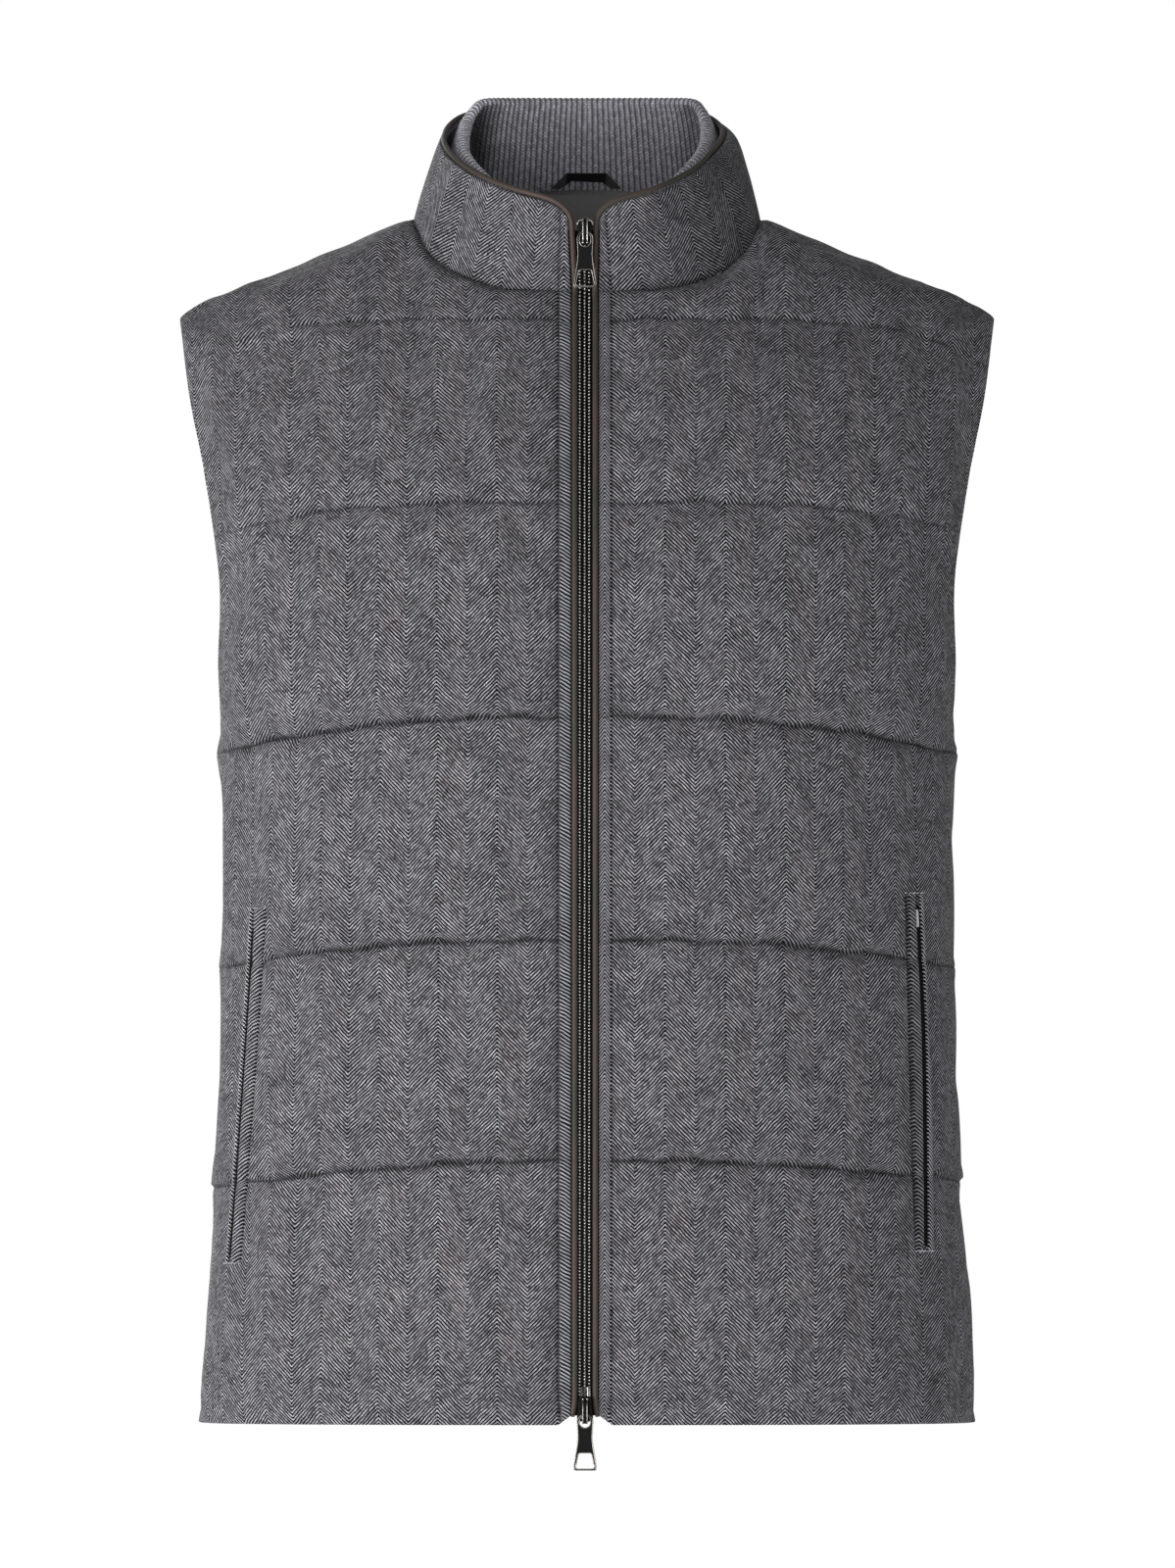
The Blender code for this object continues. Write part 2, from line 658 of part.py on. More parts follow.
def skin_normal(x, z):
    """Outward direction of the front's skin at (x, z)."""
    step = 0.002
    across = skin(x + step, z, True) - skin(x - step, z, True)
    up = skin(x, z + step, True) - skin(x, z - step, True)
    normal = across.cross(up).normalized()
    return -normal if normal.y > 0 else normal


LIP_OFF = 0.0008             # clear of the panel's facets
WELT_THICK, LIP_THICK = 0.0018, 0.0010
SLIT_HALF = 0.0004


def pocket_strip(name, tree, side, table, columns, thick, sections=20):
    """A welt or lip that lies on a panel between two columns of its table."""
    rows = table[::-1]
    low, high = rows[0].z, rows[-1].z
    outer, inner = [], []
    for k in range(sections + 1):
        z = low + (high - low) * k / sections
        ends = [follow(rows, column, z) for column in columns]
        top_line, low_line = [], []
        for share in (0.0, 0.5, 1.0):
            x = side * (ends[0] * (1 - share) + ends[1] * share)
            hit = tree.ray_cast(Vector((x, -0.5, z)), Vector((0, 1, 0)))[0]
            normal = skin_normal(x, z)
            low_line.append(hit + normal * LIP_OFF)
            top_line.append(hit + normal * (LIP_OFF + thick))
        outer.append(top_line)
        inner.append(low_line)
    return wall(name, outer, inner, HERRINGBONE)


for side, panel, table, ending in ((-1, "front_left", POCKET_LEFT, "left"),
                                   (1, "front_right", POCKET_RIGHT, "right")):
    tree = panel_tree(panel)
    shy = tuple(row._replace(middle=row.middle - SLIT_HALF) for row in table)
    pocket_strip("welt_" + ending, tree, side, shy, ("inner", "middle"), WELT_THICK)
    shy = tuple(row._replace(middle=row.middle + SLIT_HALF) for row in table)
    pocket_strip("lip_" + ending, tree, side, shy, ("middle", "outer"), LIP_THICK)

# ---------------------------------------------------------------- hanger loop
def flat_piece(name, outline, holes, thickness, look):
    """An outline in the XZ plane with holes, as a flat curve with a thickness."""
    curve = bpy.data.curves.new(name, "CURVE")
    curve.dimensions = "2D"
    curve.fill_mode = "BOTH"
    curve.extrude = thickness / 2
    for points in (outline, *holes):
        spline = curve.splines.new("POLY")
        spline.points.add(len(points) - 1)
        for place, point in zip(spline.points, points):
            place.co = (point[0], point[1], 0.0, 1.0)
        spline.use_cyclic_u = True
    piece = bpy.data.objects.new(name, curve)
    piece.rotation_euler = (math.pi / 2, 0, 0)
    if look:
        GILET.objects.link(piece)
        curve.materials.append(finish(name + "_finish", *look))
    else:
        TOOLS.objects.link(piece)
        piece.hide_render = True
        piece.display_type = "WIRE"
    return piece


LOOP_HALF, LOOP_TOP, LOOP_TAPE, LOOP_THICK = 0.0198, 0.0088, 0.0055, 0.0010
LOOP_X = -0.0005
loop_outline = [(-LOOP_HALF, 0.0), (-LOOP_HALF * 0.55, LOOP_TOP), (LOOP_HALF * 0.58, LOOP_TOP),
                (LOOP_HALF, 0.0), (LOOP_HALF - LOOP_TAPE, 0.0), (LOOP_HALF * 0.45, LOOP_TOP - 0.0052),
                (-LOOP_HALF * 0.42, LOOP_TOP - 0.0044), (-LOOP_HALF + LOOP_TAPE, 0.0)]


def loop_place():
    """Where the loop's ends meet the knit's foot, and the knit's lean there."""
    tree = panel_tree("collar_knit")
    middle = len(knit_inner[0]) // 2
    foot, above = knit_inner[0][middle], knit_inner[1][middle]
    along = (above - foot).normalized()
    inward = Vector((0, -along.z, along.y))
    base = foot + along * 0.001
    nearest = 0.0
    for x, up in loop_outline:
        seat = base + along * up
        hit = tree.ray_cast(Vector((LOOP_X + x, 0.0, seat.z)), Vector((0, 1, 0)))[0]
        nearest = max(nearest, (hit - seat).dot(inward))
    place = base + inward * (nearest + SEAM_GAP + LOOP_THICK / 2)
    return Vector((LOOP_X, place.y, place.z)), math.atan2(along.z, along.y)


loop = flat_piece("hanger_loop", loop_outline, (), LOOP_THICK, TAPE)
loop.location, loop.rotation_euler.x = loop_place()

# ---------------------------------------------------------------- sliders and pull tabs
def box(name, size, center, collection=TOOLS, look=None):
    """A box of a given size with its scale in its mesh."""
    mesh = bpy.data.meshes.new(name)
    work = bmesh.new()
    bmesh.ops.create_cube(work, size=1.0)
    bmesh.ops.scale(work, vec=Vector(size), verts=work.verts)
    bmesh.ops.translate(work, vec=Vector(center), verts=work.verts)
    work.to_mesh(mesh)
    work.free()
    piece = add(name, mesh, look, collection)
    if collection is TOOLS:
        piece.hide_render = True
        piece.display_type = "WIRE"
    return piece


SLIDER_LENGTH, SLIDER_WIDTH, PLATE = 0.0140, 0.0090, 0.0012
FRONT_PLATE = -0.0016        # middle of the front plate, inside the edge's skin
BACK_PLATE = 0.0064
BAIL_HEIGHT, BAIL_LENGTH, BAIL_WIDTH, BAIL_WIRE = 0.0042, 0.0130, 0.0034, 0.0010


def slider(name, middle, wide_end, bail_shift):
    """A slider: two plates joined by a post past the chain's end, and a bail on the front.

    middle is the point of the edge's skin at the slider's middle, wide_end is +1 when the
    post is at its top. The bail's top or bottom lies bail_shift from the slider's middle.
    """
    half = SLIDER_LENGTH / 2
    body = box(name, (SLIDER_WIDTH, PLATE, SLIDER_LENGTH), (0, FRONT_PLATE, 0), GILET, METAL)
    post_z = wide_end * (half - 0.0013)
    parts = [
        box(name + "_back_plate", (SLIDER_WIDTH, PLATE, SLIDER_LENGTH), (0, BACK_PLATE, 0)),
        box(name + "_post", (0.0030, BACK_PLATE - FRONT_PLATE, 0.0026),
            (0, (BACK_PLATE + FRONT_PLATE) / 2, post_z)),
    ]
    mesh = bpy.data.meshes.new(name + "_bail")
    work = bmesh.new()
    run, height, wire = BAIL_LENGTH / 2, BAIL_HEIGHT, BAIL_WIRE
    side_view = [(-run, 0.0), (-run, height * 0.62), (-run * 0.62, height), (run * 0.62, height),
                 (run, height * 0.62), (run, 0.0), (run - wire, 0.0), (run - wire, height * 0.55),
                 (run * 0.55, height - wire), (-run * 0.55, height - wire),
                 (-run + wire, height * 0.55), (-run + wire, 0.0)]
    surface = FRONT_PLATE - PLATE / 2 + 0.0003
    ring = [work.verts.new((-BAIL_WIDTH / 2, surface - out, along + bail_shift)) for along, out in side_view]
    face = work.faces.new(ring)
    grown = bmesh.ops.extrude_face_region(work, geom=[face])
    moved = [v for v in grown["geom"] if isinstance(v, bmesh.types.BMVert)]
    bmesh.ops.translate(work, vec=Vector((BAIL_WIDTH, 0, 0)), verts=moved)
    bmesh.ops.recalc_face_normals(work, faces=work.faces)
    work.to_mesh(mesh)
    work.free()
    bail = add(name + "_bail", mesh, None, TOOLS)
    bail.hide_render = True
    bail.display_type = "WIRE"
    parts.append(bail)
    for part in parts:
        part.location = middle
        join = body.modifiers.new("join_" + part.name, "BOOLEAN")
        join.operation = "UNION"
        join.solver = "EXACT"
        join.object = part
    body.location = middle
    return body


def arc(center, radius, start, end, steps):
    return [(center[0] + radius * math.cos(math.radians(start + (end - start) * k / steps)),
             center[1] + radius * math.sin(math.radians(start + (end - start) * k / steps)))
            for k in range(steps + 1)]


EYE_RADIUS, WAIST, FOOT = 0.0047, 0.0042, 0.0064
HINGE_DROP = 0.0006          # from the eye's top edge to the hinge axis


def pull(name, hinge):
    """A pull tab with its eye round the bail: its origin is on the hinge axis."""
    top = HINGE_DROP
    center = top - EYE_RADIUS
    bottom = top - PULL_LENGTH
    right = arc((0, center), EYE_RADIUS, 90, -15, 7)
    right += [(WAIST, center - 0.0085), (WAIST + 0.0004, center - 0.0130), (FOOT, bottom + 0.0030)]
    right += arc((FOOT - 0.0012, bottom + 0.0012), 0.0012, 0, -90, 3)
    outline = right + [(-x, z) for x, z in right[::-1]]
    outline = outline[:-1]
    eye_top, eye_bottom, eye_half = top - 0.0012, top - 0.0088, 0.0029
    eye = arc((0, eye_top - eye_half), eye_half, 90, 0, 4) + arc((0, eye_bottom + eye_half), eye_half, 0, -90, 4)
    eye += [(-x, z) for x, z in eye[-2:0:-1]]
    window_top, window_bottom = bottom + 0.0093, bottom + 0.0012
    window = [(0.0033, window_top), (0.0049, window_bottom), (-0.0049, window_bottom), (-0.0033, window_top)]
    piece = flat_piece(name, outline, (eye, window), PULL_THICKNESS, METAL)
    piece.location = hinge
    return piece


def slider_place(z):
    """Middle of a slider: on the zip's middle line, kept upright."""
    return Vector((ZIP_X, -front_depth(z), z))


SLIDER_TOP_Z, SLIDER_BOTTOM_Z = -0.0085, -0.6680
slider("slider_top", slider_place(SLIDER_TOP_Z), 1, 0.0012)
slider("slider_bottom", slider_place(SLIDER_BOTTOM_Z), -1, -0.0015)
HINGE_OUT = -FRONT_PLATE + PLATE / 2 + 0.0004 + PULL_THICKNESS / 2
for name, z in (("pull_top", -0.0082), ("pull_bottom", -0.6712)):
    near = SLIDER_TOP_Z if name == "pull_top" else SLIDER_BOTTOM_Z
    pull(name, Vector((ZIP_X, -front_depth(near) - HINGE_OUT, z)))

for piece in GILET.objects:
    if piece.type == "MESH":
        for polygon in piece.data.polygons:
            polygon.use_smooth = len(piece.data.polygons) > 60
        piece.data.set_sharp_from_angle(angle=math.radians(40))
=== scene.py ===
# %% [markdown]
# # A quilted herringbone gilet
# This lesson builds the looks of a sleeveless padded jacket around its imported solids. The real
# one has wadded panels of wool cloth, a standing collar with a ribbed knit band inside, a corded
# front edge and a two-way metal zip. The solids give every size and place. What they leave out
# is made here: the puff of the wadding, the ribs, the teeth, the stitches and all the finishes.
# Lengths are in metres, +Z is up, the zip faces -Y, and "left" is -X, the picture's left.

# %% Load the frame
import math

import bpy
import numpy as np
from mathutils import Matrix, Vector
from mathutils.bvhtree import BVHTree


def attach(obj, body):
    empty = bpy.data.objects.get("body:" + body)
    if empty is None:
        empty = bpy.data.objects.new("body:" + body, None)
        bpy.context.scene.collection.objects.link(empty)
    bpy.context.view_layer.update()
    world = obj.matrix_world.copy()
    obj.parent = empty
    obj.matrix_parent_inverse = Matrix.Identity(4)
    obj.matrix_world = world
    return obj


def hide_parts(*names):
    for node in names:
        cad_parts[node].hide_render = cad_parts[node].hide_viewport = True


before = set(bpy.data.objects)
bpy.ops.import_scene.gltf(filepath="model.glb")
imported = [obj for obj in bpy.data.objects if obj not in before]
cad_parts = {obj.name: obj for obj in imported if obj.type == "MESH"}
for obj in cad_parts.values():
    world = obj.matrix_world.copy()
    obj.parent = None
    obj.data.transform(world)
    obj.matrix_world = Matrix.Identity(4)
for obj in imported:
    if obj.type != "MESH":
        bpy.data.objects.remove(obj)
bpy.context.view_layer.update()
scene = bpy.context.scene

# %% [markdown]
# The camera comes first, so that each piece can be checked as it is made. The photograph shows
# the front squarely from far away, so a long lens at the height of the picture's middle gives
# the same view. One pixel of the photograph is 0.55 mm at the side seams.

# %% Camera
PIXEL = 0.00055
PHOTO_WIDE, PHOTO_HIGH = 1199, 1600
ORIGIN_ACROSS, ORIGIN_DOWN = 599, 222        # the photograph's pixel on the part's origin
CAMERA_AWAY, TRUE_SCALE = 25.0, 0.06        # true scale halfway between the sides and the zip
SENSOR = 24.0
view_x = (PHOTO_WIDE / 2 - ORIGIN_ACROSS) * PIXEL
view_z = (ORIGIN_DOWN - PHOTO_HIGH / 2) * PIXEL
bpy.ops.object.camera_add(location=(view_x, -CAMERA_AWAY, view_z), rotation=(math.pi / 2, 0, 0))
camera = bpy.context.object
camera.data.sensor_fit = "VERTICAL"
camera.data.sensor_height = SENSOR
camera.data.lens = SENSOR * (CAMERA_AWAY - TRUE_SCALE) / (PHOTO_HIGH * PIXEL)
camera.data.clip_end = 100
scene.camera = camera
print(f"camera: {camera.data.lens:.0f} mm lens, {CAMERA_AWAY} m away")

# %% [markdown]
# The light is a studio's: a large soft key low on the left, a second one in front, a weak one
# on the right so that the dark side keeps its weave, and one behind for the views from the
# back. The world is white to the camera but dim to all else, so that the folds keep their shade.

# %% Light and floor
WORLD_LIGHT = 0.20
FLOOR_Z, FLOOR_SIZE = -1.45, 7.0
LIGHTS = (                   # name, place, size, watts
    ("key", (-2.2, -2.3, -1.25), 1.6, 83.0),
    ("front", (-1.3, -4.0, -0.35), 1.6, 36.0),
    ("fill", (3.0, -0.7, -1.3), 2.2, 8.0),
    ("rear", (-1.2, 3.4, 0.9), 2.4, 60.0),
)
LIGHTS_AIM = Vector((0, 0, -0.3))


def build_world():
    """A world that is white to the camera and dim to the surfaces."""
    world = bpy.data.worlds.new("studio")
    world.use_nodes = True
    nodes, links = world.node_tree.nodes, world.node_tree.links
    background = nodes["Background"]
    background.inputs["Color"].default_value = (1, 1, 1, 1)
    rays = nodes.new("ShaderNodeLightPath")
    amount = nodes.new("ShaderNodeMapRange")
    amount.inputs["To Min"].default_value = WORLD_LIGHT
    amount.inputs["To Max"].default_value = 1.0
    links.new(rays.outputs["Is Camera Ray"], amount.inputs["Value"])
    links.new(amount.outputs["Result"], background.inputs["Strength"])
    scene.world = world


def build_lights():
    for name, place, size, watts in LIGHTS:
        bpy.ops.object.light_add(type="AREA", location=place)
        light = bpy.context.object
        light.name = name
        light.data.shape = "SQUARE"
        light.data.size = size
        light.data.energy = watts
        light.rotation_euler = (LIGHTS_AIM - Vector(place)).to_track_quat("-Z", "Y").to_euler()


scene.view_settings.view_transform = "Standard"
scene.view_settings.look = "None"
build_world()
build_lights()
bpy.ops.mesh.primitive_plane_add(size=FLOOR_SIZE, location=(0, 0, FLOOR_Z))
floor = bpy.context.object
floor.name = "studio_floor"
print("lights:", [name for name, *_ in LIGHTS])

# %% [markdown]
# A finish is a tree of shader nodes. Two short classes let a tree be written as plain sums: a
# Value is what a node gives out, and adding or multiplying values adds the nodes that do it. A
# value that is the same all over the surface is set on the shader itself.

# %% Helpers for the finishes


class Value:
    """What a node gives out."""

    def __init__(self, finish, socket):
        self.finish, self.socket = finish, socket

    def math(self, operation, *others):
        return self.finish.node("Math", dict(enumerate((self, *others))), operation=operation)

    def __add__(self, other):
        return self.math("ADD", other)

    def __mul__(self, other):
        return self.math("MULTIPLY", other)

    def __truediv__(self, other):
        return self.math("DIVIDE", other)

    def taken_from(self, whole):
        return self * -1.0 + whole

    def floor(self):
        return self.math("FLOOR")

    def pingpong(self, scale):
        return self.math("PINGPONG", scale)

    def spread(self, low, high, to_low, to_high, smooth=False):
        """The value mapped from one range to another."""
        inputs = {"Value": self, "From Min": low, "From Max": high, "To Min": to_low, "To Max": to_high}
        kind = "SMOOTHSTEP" if smooth else "LINEAR"
        return self.finish.node("MapRange", inputs, "Result", interpolation_type=kind)


class Finish:
    """A material, its shader with some of its own sockets set, and the nodes that feed it."""

    def __init__(self, name, **sockets):
        self.look = bpy.data.materials.new(name)
        self.look.use_nodes = True
        self.shader = self.look.node_tree.nodes["Principled BSDF"]
        for socket, value in sockets.items():
            self.shader.inputs[socket.replace("_", " ")].default_value = value

    def node(self, kind, inputs, output=0, **settings):
        """Add a node; an input gets a number, or a link from another node's value."""
        made = self.look.node_tree.nodes.new("ShaderNode" + kind)
        for key, value in settings.items():
            setattr(made, key, value)
        for key, value in inputs.items():
            if isinstance(value, Value):
                self.look.node_tree.links.new(value.socket, made.inputs[key])
            else:
                made.inputs[key].default_value = value
        return Value(self, made.outputs[output])

    def feed(self, socket, value):
        self.look.node_tree.links.new(value.socket, self.shader.inputs[socket])

    def noise(self, scale, detail=2.0, roughness=0.5):
        inputs = {"Vector": self.node("TexCoord", {}, "Object"), "Scale": scale,
                  "Detail": detail, "Roughness": roughness}
        return self.node("TexNoise", inputs, "Fac")

    def chart(self, layer="weave"):
        """The two numbers of a chart: across the cloth and up it, in metres, for the weave."""
        both = self.node("UVMap", {}, "UV", uv_map=layer)
        return [self.node("SeparateXYZ", {0: both}, axis) for axis in "XY"]

    def chance(self, column, row):
        """A random number of its own for each column and row."""
        cell = self.node("CombineXYZ", {0: column, 1: row})
        return self.node("TexWhiteNoise", {"Vector": cell}, "Value", noise_dimensions="2D")

    def paint(self, color, amount):
        """The surface's colour, times an amount that varies over it."""
        self.feed("Base Color", self.node("VectorMath", {0: color, 3: amount}, operation="SCALE"))

    def relief(self, height, strength, distance):
        inputs = {"Strength": strength, "Distance": distance, "Height": height}
        self.feed("Normal", self.node("Bump", inputs, "Normal"))


# %% [markdown]
# The cloth is a wool herringbone. Light and dark yarns cross in a twill whose slant turns at
# every column, so the lines zigzag. A picture of the weave would blur when seen close, so the
# pattern is worked out from the cloth's own chart. Ping-pong of the distance across folds the
# slant, the fraction of height over pitch draws the lines, and a step for each yarn breaks them
# into dashes. The wool is melange, so each dash and each run of three has its own lightness,
# and soft patches vary it. A second chart holds the painted shade of creases and seams, and
# where the weave is bold.

# %% Herringbone finish
HERRING_COLUMN = 0.0168
TWILL_PITCH = 0.00215
YARN_WIDTH = 0.00055
WOOL_COLOR = (0.985, 0.97, 1.06)
WOOL_DARK, WOOL_LIGHT, BOLD_LIGHT = 0.004, 0.50, 1.22
LEAST_LIGHT, DASH_CHANCE, RUN_CHANCE, RUN_YARNS = 0.35, 0.50, 0.80, 3.0


def herringbone_look():
    cloth = Finish("herringbone_wool", Roughness=0.92, Sheen_Weight=0.12, Sheen_Roughness=0.45,
                   Specular_IOR_Level=0.2)
    across, up = cloth.chart()
    painted_shade_uv, bold = cloth.chart("crease")
    waver = cloth.noise(130).spread(0.3, 0.7, -0.0004, 0.0004)
    yarn = (across / YARN_WIDTH).floor()
    fold = ((yarn + 0.5) * YARN_WIDTH).pingpong(HERRING_COLUMN)
    turns = (up + fold + waver) / TWILL_PITCH
    row = turns.floor()
    ridge = turns.pingpong(0.5).spread(0.27, 0.38, 0.0, 1.0, smooth=True)
    dash = cloth.chance(yarn, row) * DASH_CHANCE
    run = cloth.chance((yarn / RUN_YARNS).floor(), row) * RUN_CHANCE
    lightness = dash + run + LEAST_LIGHT
    lightness = lightness.taken_from(BOLD_LIGHT) * bold + lightness
    fuzz = cloth.noise(2600).spread(0.25, 0.75, 0.88, 1.12)
    patches = cloth.noise(75, 4, 0.6).spread(0.3, 0.7, 0.78, 1.22)
    # The painted shade from the second chart darkens the colour, by an amount that wanders softly.
    uneven = cloth.noise(45, 3).spread(0.3, 0.7, -1.15, -0.75)
    shade = (painted_shade_uv * uneven + 1.0).math("MAXIMUM", 0.1)
    light = ridge * lightness * patches * shade * fuzz
    cloth.paint(WOOL_COLOR, light * (WOOL_LIGHT - WOOL_DARK) + WOOL_DARK)
    cloth.relief(ridge + fuzz * 0.4, 0.5, 0.00025)
    return cloth.look


wool = herringbone_look()
print("herringbone:", len(wool.node_tree.nodes), "nodes")

# %% [markdown]
# The other finishes are plainer. The knit is a melange rib, so its stitches are small V shapes
# along each rib. The cord is smooth and taupe, the tape is a black woven ribbon, the lining is
# a dark satin, and the zip is black nickel, with brighter nickel on its beads and edges as painted
# highlights.

# %% Other finishes
KNIT_COLOR = (0.640, 0.622, 0.700)
RIB_PITCH, STITCH_PITCH = 0.00305, 0.0017
CORD_COLOR, CORD_SHADE = (0.088, 0.057, 0.048), (0.052, 0.048, 0.035)
LINING_COLOR = (0.310, 0.299, 0.305)
TAPE_COLOR = (0.010, 0.0095, 0.0095)
NICKEL_DARK, NICKEL_MIDDLE = (0.055, 0.052, 0.050), (0.36, 0.35, 0.33)
NICKEL_BRIGHT = (0.92, 0.90, 0.86)


def knit_look():
    """Melange yarn in stitches that lean to the two sides of each rib's middle."""
    rib = Finish("ribbed_knit", Roughness=0.95, Sheen_Weight=0.15, Specular_IOR_Level=0.2)
    across, up = rib.chart()
    shade, _ = rib.chart("crease")
    side = across.pingpong(RIB_PITCH / 2)
    turns = (up + side * 0.9) / STITCH_PITCH
    stitch = turns.pingpong(0.5).spread(0.05, 0.35, 0.0, 1.0, smooth=True)
    valley = side.spread(0.0002, 0.0009, 0.30, 1.0, smooth=True)
    own = rib.chance((across / (RIB_PITCH / 2)).floor(), turns.floor()).spread(0.0, 1.0, 0.72, 1.28)
    fibre = rib.noise(1500, 3).spread(0.25, 0.75, 0.6, 1.4)
    light = own * fibre * valley * stitch.spread(0.0, 1.0, 0.62, 1.0)
    # The second chart's painted shade darkens the colour, and its painted highlight, below zero, lightens it.
    rib.paint(KNIT_COLOR, light * shade.taken_from(1.0))
    rib.relief(stitch * fibre, 0.6, 0.0004)
    return rib.look


def cord_look():
    """Smooth covering cloth whose shade wanders a little along the cord."""
    cover = Finish("taupe_cord", Roughness=0.62, Sheen_Weight=0.1)
    inputs = {"Factor": cover.noise(22, 3).spread(0.35, 0.65, 0.0, 1.0),
              6: (*CORD_COLOR, 1.0), 7: (*CORD_SHADE, 1.0)}
    fine = cover.noise(1400)
    cover.paint(cover.node("Mix", inputs, 2, data_type="RGBA"), fine.spread(0.2, 0.8, 0.82, 1.18))
    cover.relief(fine, 0.25, 0.0002)
    return cover.look


def lining_look():
    satin = Finish("satin_lining", Roughness=0.5, Specular_IOR_Level=0.35)
    satin.paint(LINING_COLOR, satin.noise(900).spread(0.2, 0.8, 0.88, 1.12))
    satin.relief(satin.noise(60), 0.25, 0.001)
    return satin.look


def tape_look():
    """A ribbon of fine ribs across the tape."""
    ribbon = Finish("woven_tape", Roughness=0.8, Specular_IOR_Level=0.12)
    across, up = ribbon.chart()
    ribs = (up / 0.0008).pingpong(0.5) * (across / 0.0006).pingpong(0.5)
    ribbon.paint(TAPE_COLOR, ribs.spread(0.0, 0.25, 0.6, 1.7))
    ribbon.relief(ribs, 0.5, 0.0003)
    return ribbon.look


def metal_look(name, color, roughness):
    metal = Finish(name, Metallic=1.0)
    smudge = metal.noise(420, 3)
    metal.paint(color, smudge.spread(0.3, 0.7, 0.85, 1.12))
    metal.feed("Roughness", smudge.spread(0.3, 0.7, roughness * 0.75, roughness * 1.35))
    return metal.look


def plain_look(name, color, **sockets):
    return Finish(name, Base_Color=(*color, 1), **sockets).look


knit, cord, lining, tape = knit_look(), cord_look(), lining_look(), tape_look()
nickel = metal_look("black_nickel", NICKEL_DARK, 0.28)
# The lighter nickel on the rails and rims and the bright nickel are painted highlights on the black metal.
lighter_nickel = metal_look("lighter_nickel_metal", NICKEL_MIDDLE, 0.24)
chrome = metal_look("bright_nickel", NICKEL_BRIGHT, 0.25)
enamel = plain_look("dark_plate", (0.006, 0.0055, 0.0055), Roughness=0.4, Specular_IOR_Level=0.14)
thread = plain_look("grey_thread", (0.55, 0.54, 0.56), Roughness=0.8)
dark_thread = plain_look("dark_thread", (0.02, 0.019, 0.02), Roughness=0.8)
pocketing = plain_look("pocketing", (0.88, 0.87, 0.88), Roughness=0.9)
grey_tape = plain_look("grey_tape", (0.030, 0.027, 0.026), Roughness=0.7)
pale = plain_look("studio_floor", (0.88, 0.88, 0.88), Roughness=0.9,
                  Emission_Color=(1, 1, 1, 1), Emission_Strength=0.22)
floor.data.materials.append(pale)
print("finishes:", len(bpy.data.materials))

# %% [markdown]
# Everything sewn follows one torso, the form that the gilet keeps when it is worn. A few tables
# give its half width and depth at each height. Its cross-section is a fat ellipse, and it rolls
# over at the shoulder. These are the same rules as the solids', so the cloth lies where they are.

# %% The torso
SEAM_GAP = -0.0016            # sewn edges press into each other
LINING_DEPTH = 0.0025        # wall thickness along a quilting line
PUFF, HEM_PUFF = 0.0045, 0.0015
NECK_HALF, NECK_FRONT_DROP, NECK_BACK_RISE = 0.098, 0.041, 0.016
FRONT_NECK_BEND, BACK_NECK_BEND = 3.2, 2.2
SHOULDER_SLOPE, RIDGE_ROUND = 0.445, 0.030
FRONT_ROLL, BACK_ROLL = (0.240, 2.0), (0.120, 3.2)       # height of the roll and its bend
SHOULDER_SWELL, SWELL_REACH = 0.0014, 0.006
FULLNESS = 2.4
ZIP_X, EDGE_OFFSET, BAND = -0.0011, 0.0077, 0.0073
HALF, FRONT, BACK = 1, 2, 3  # columns of TORSO after the height
TORSO = np.array((
    (-0.677, 0.2170, 0.1190, 0.1120), (-0.604, 0.2132, 0.1195, 0.1095),
    (-0.530, 0.2085, 0.1205, 0.1075), (-0.460, 0.2055, 0.1220, 0.1060),
    (-0.373, 0.2040, 0.1250, 0.1070), (-0.301, 0.2060, 0.1285, 0.1110),
    (-0.250, 0.2185, 0.1285, 0.1130), (-0.200, 0.2230, 0.1255, 0.1135),
    (-0.142, 0.2313, 0.1185, 0.1125), (-0.100, 0.2380, 0.1120, 0.1080),
    (-0.058, 0.2415, 0.1030, 0.0990), (-0.010, 0.2430, 0.0960, 0.0850),
    (0.040, 0.2440, 0.0920, 0.0700)))
ARMHOLE = np.array((         # height, how far the edge stands in front of and behind the side
    (-0.301, 0.00, 0.00), (-0.290, 0.20, 0.19), (-0.272, 0.33, 0.31), (-0.250, 0.41, 0.39),
    (-0.220, 0.455, 0.44), (-0.180, 0.47, 0.455), (-0.130, 0.46, 0.44), (-0.090, 0.435, 0.42),
    (-0.050, 0.40, 0.40)))
QUILT = np.array((           # height at the zip, drop at the left and right side, bend
    (-0.6770, 0.0000, 0.0000, 2.0), (-0.5285, 0.0150, 0.0110, 1.8), (-0.4055, 0.0160, 0.0150, 2.6),
    (-0.2805, 0.0205, 0.0205, 2.6), (-0.1605, 0.0185, 0.0150, 3.5), (-0.0580, 0.0165, 0.0165, 5.0)))
LAST_PUFF = len(QUILT) - 1
SIDE_REACH, REACH_LIMIT, YOKE_SPREAD = 0.205, 1.15, 1.5
SETTLE = 12                  # rounds in which a row's points settle on the torso


def follow(rows, column, at):
    """One column of a table at the heights `at`, on a smooth curve through its rows."""
    keys, values = rows[:, 0], rows[:, column]
    slopes = np.empty_like(values)
    slopes[1:-1] = (values[2:] - values[:-2]) / (keys[2:] - keys[:-2])
    slopes[0] = (values[1] - values[0]) / (keys[1] - keys[0])
    slopes[-1] = (values[-1] - values[-2]) / (keys[-1] - keys[-2])
    at = np.clip(at, keys[0], keys[-1])
    low = np.clip(np.searchsorted(keys, at, side="right") - 1, 0, len(keys) - 2)
    step = keys[low + 1] - keys[low]
    t = (at - keys[low]) / step
    rise = values[low + 1] - values[low]
    start, end = slopes[low] * step, slopes[low + 1] * step
    return values[low] + t * (start + t * (3 * rise - 2 * start - end + t * (start + end - 2 * rise)))


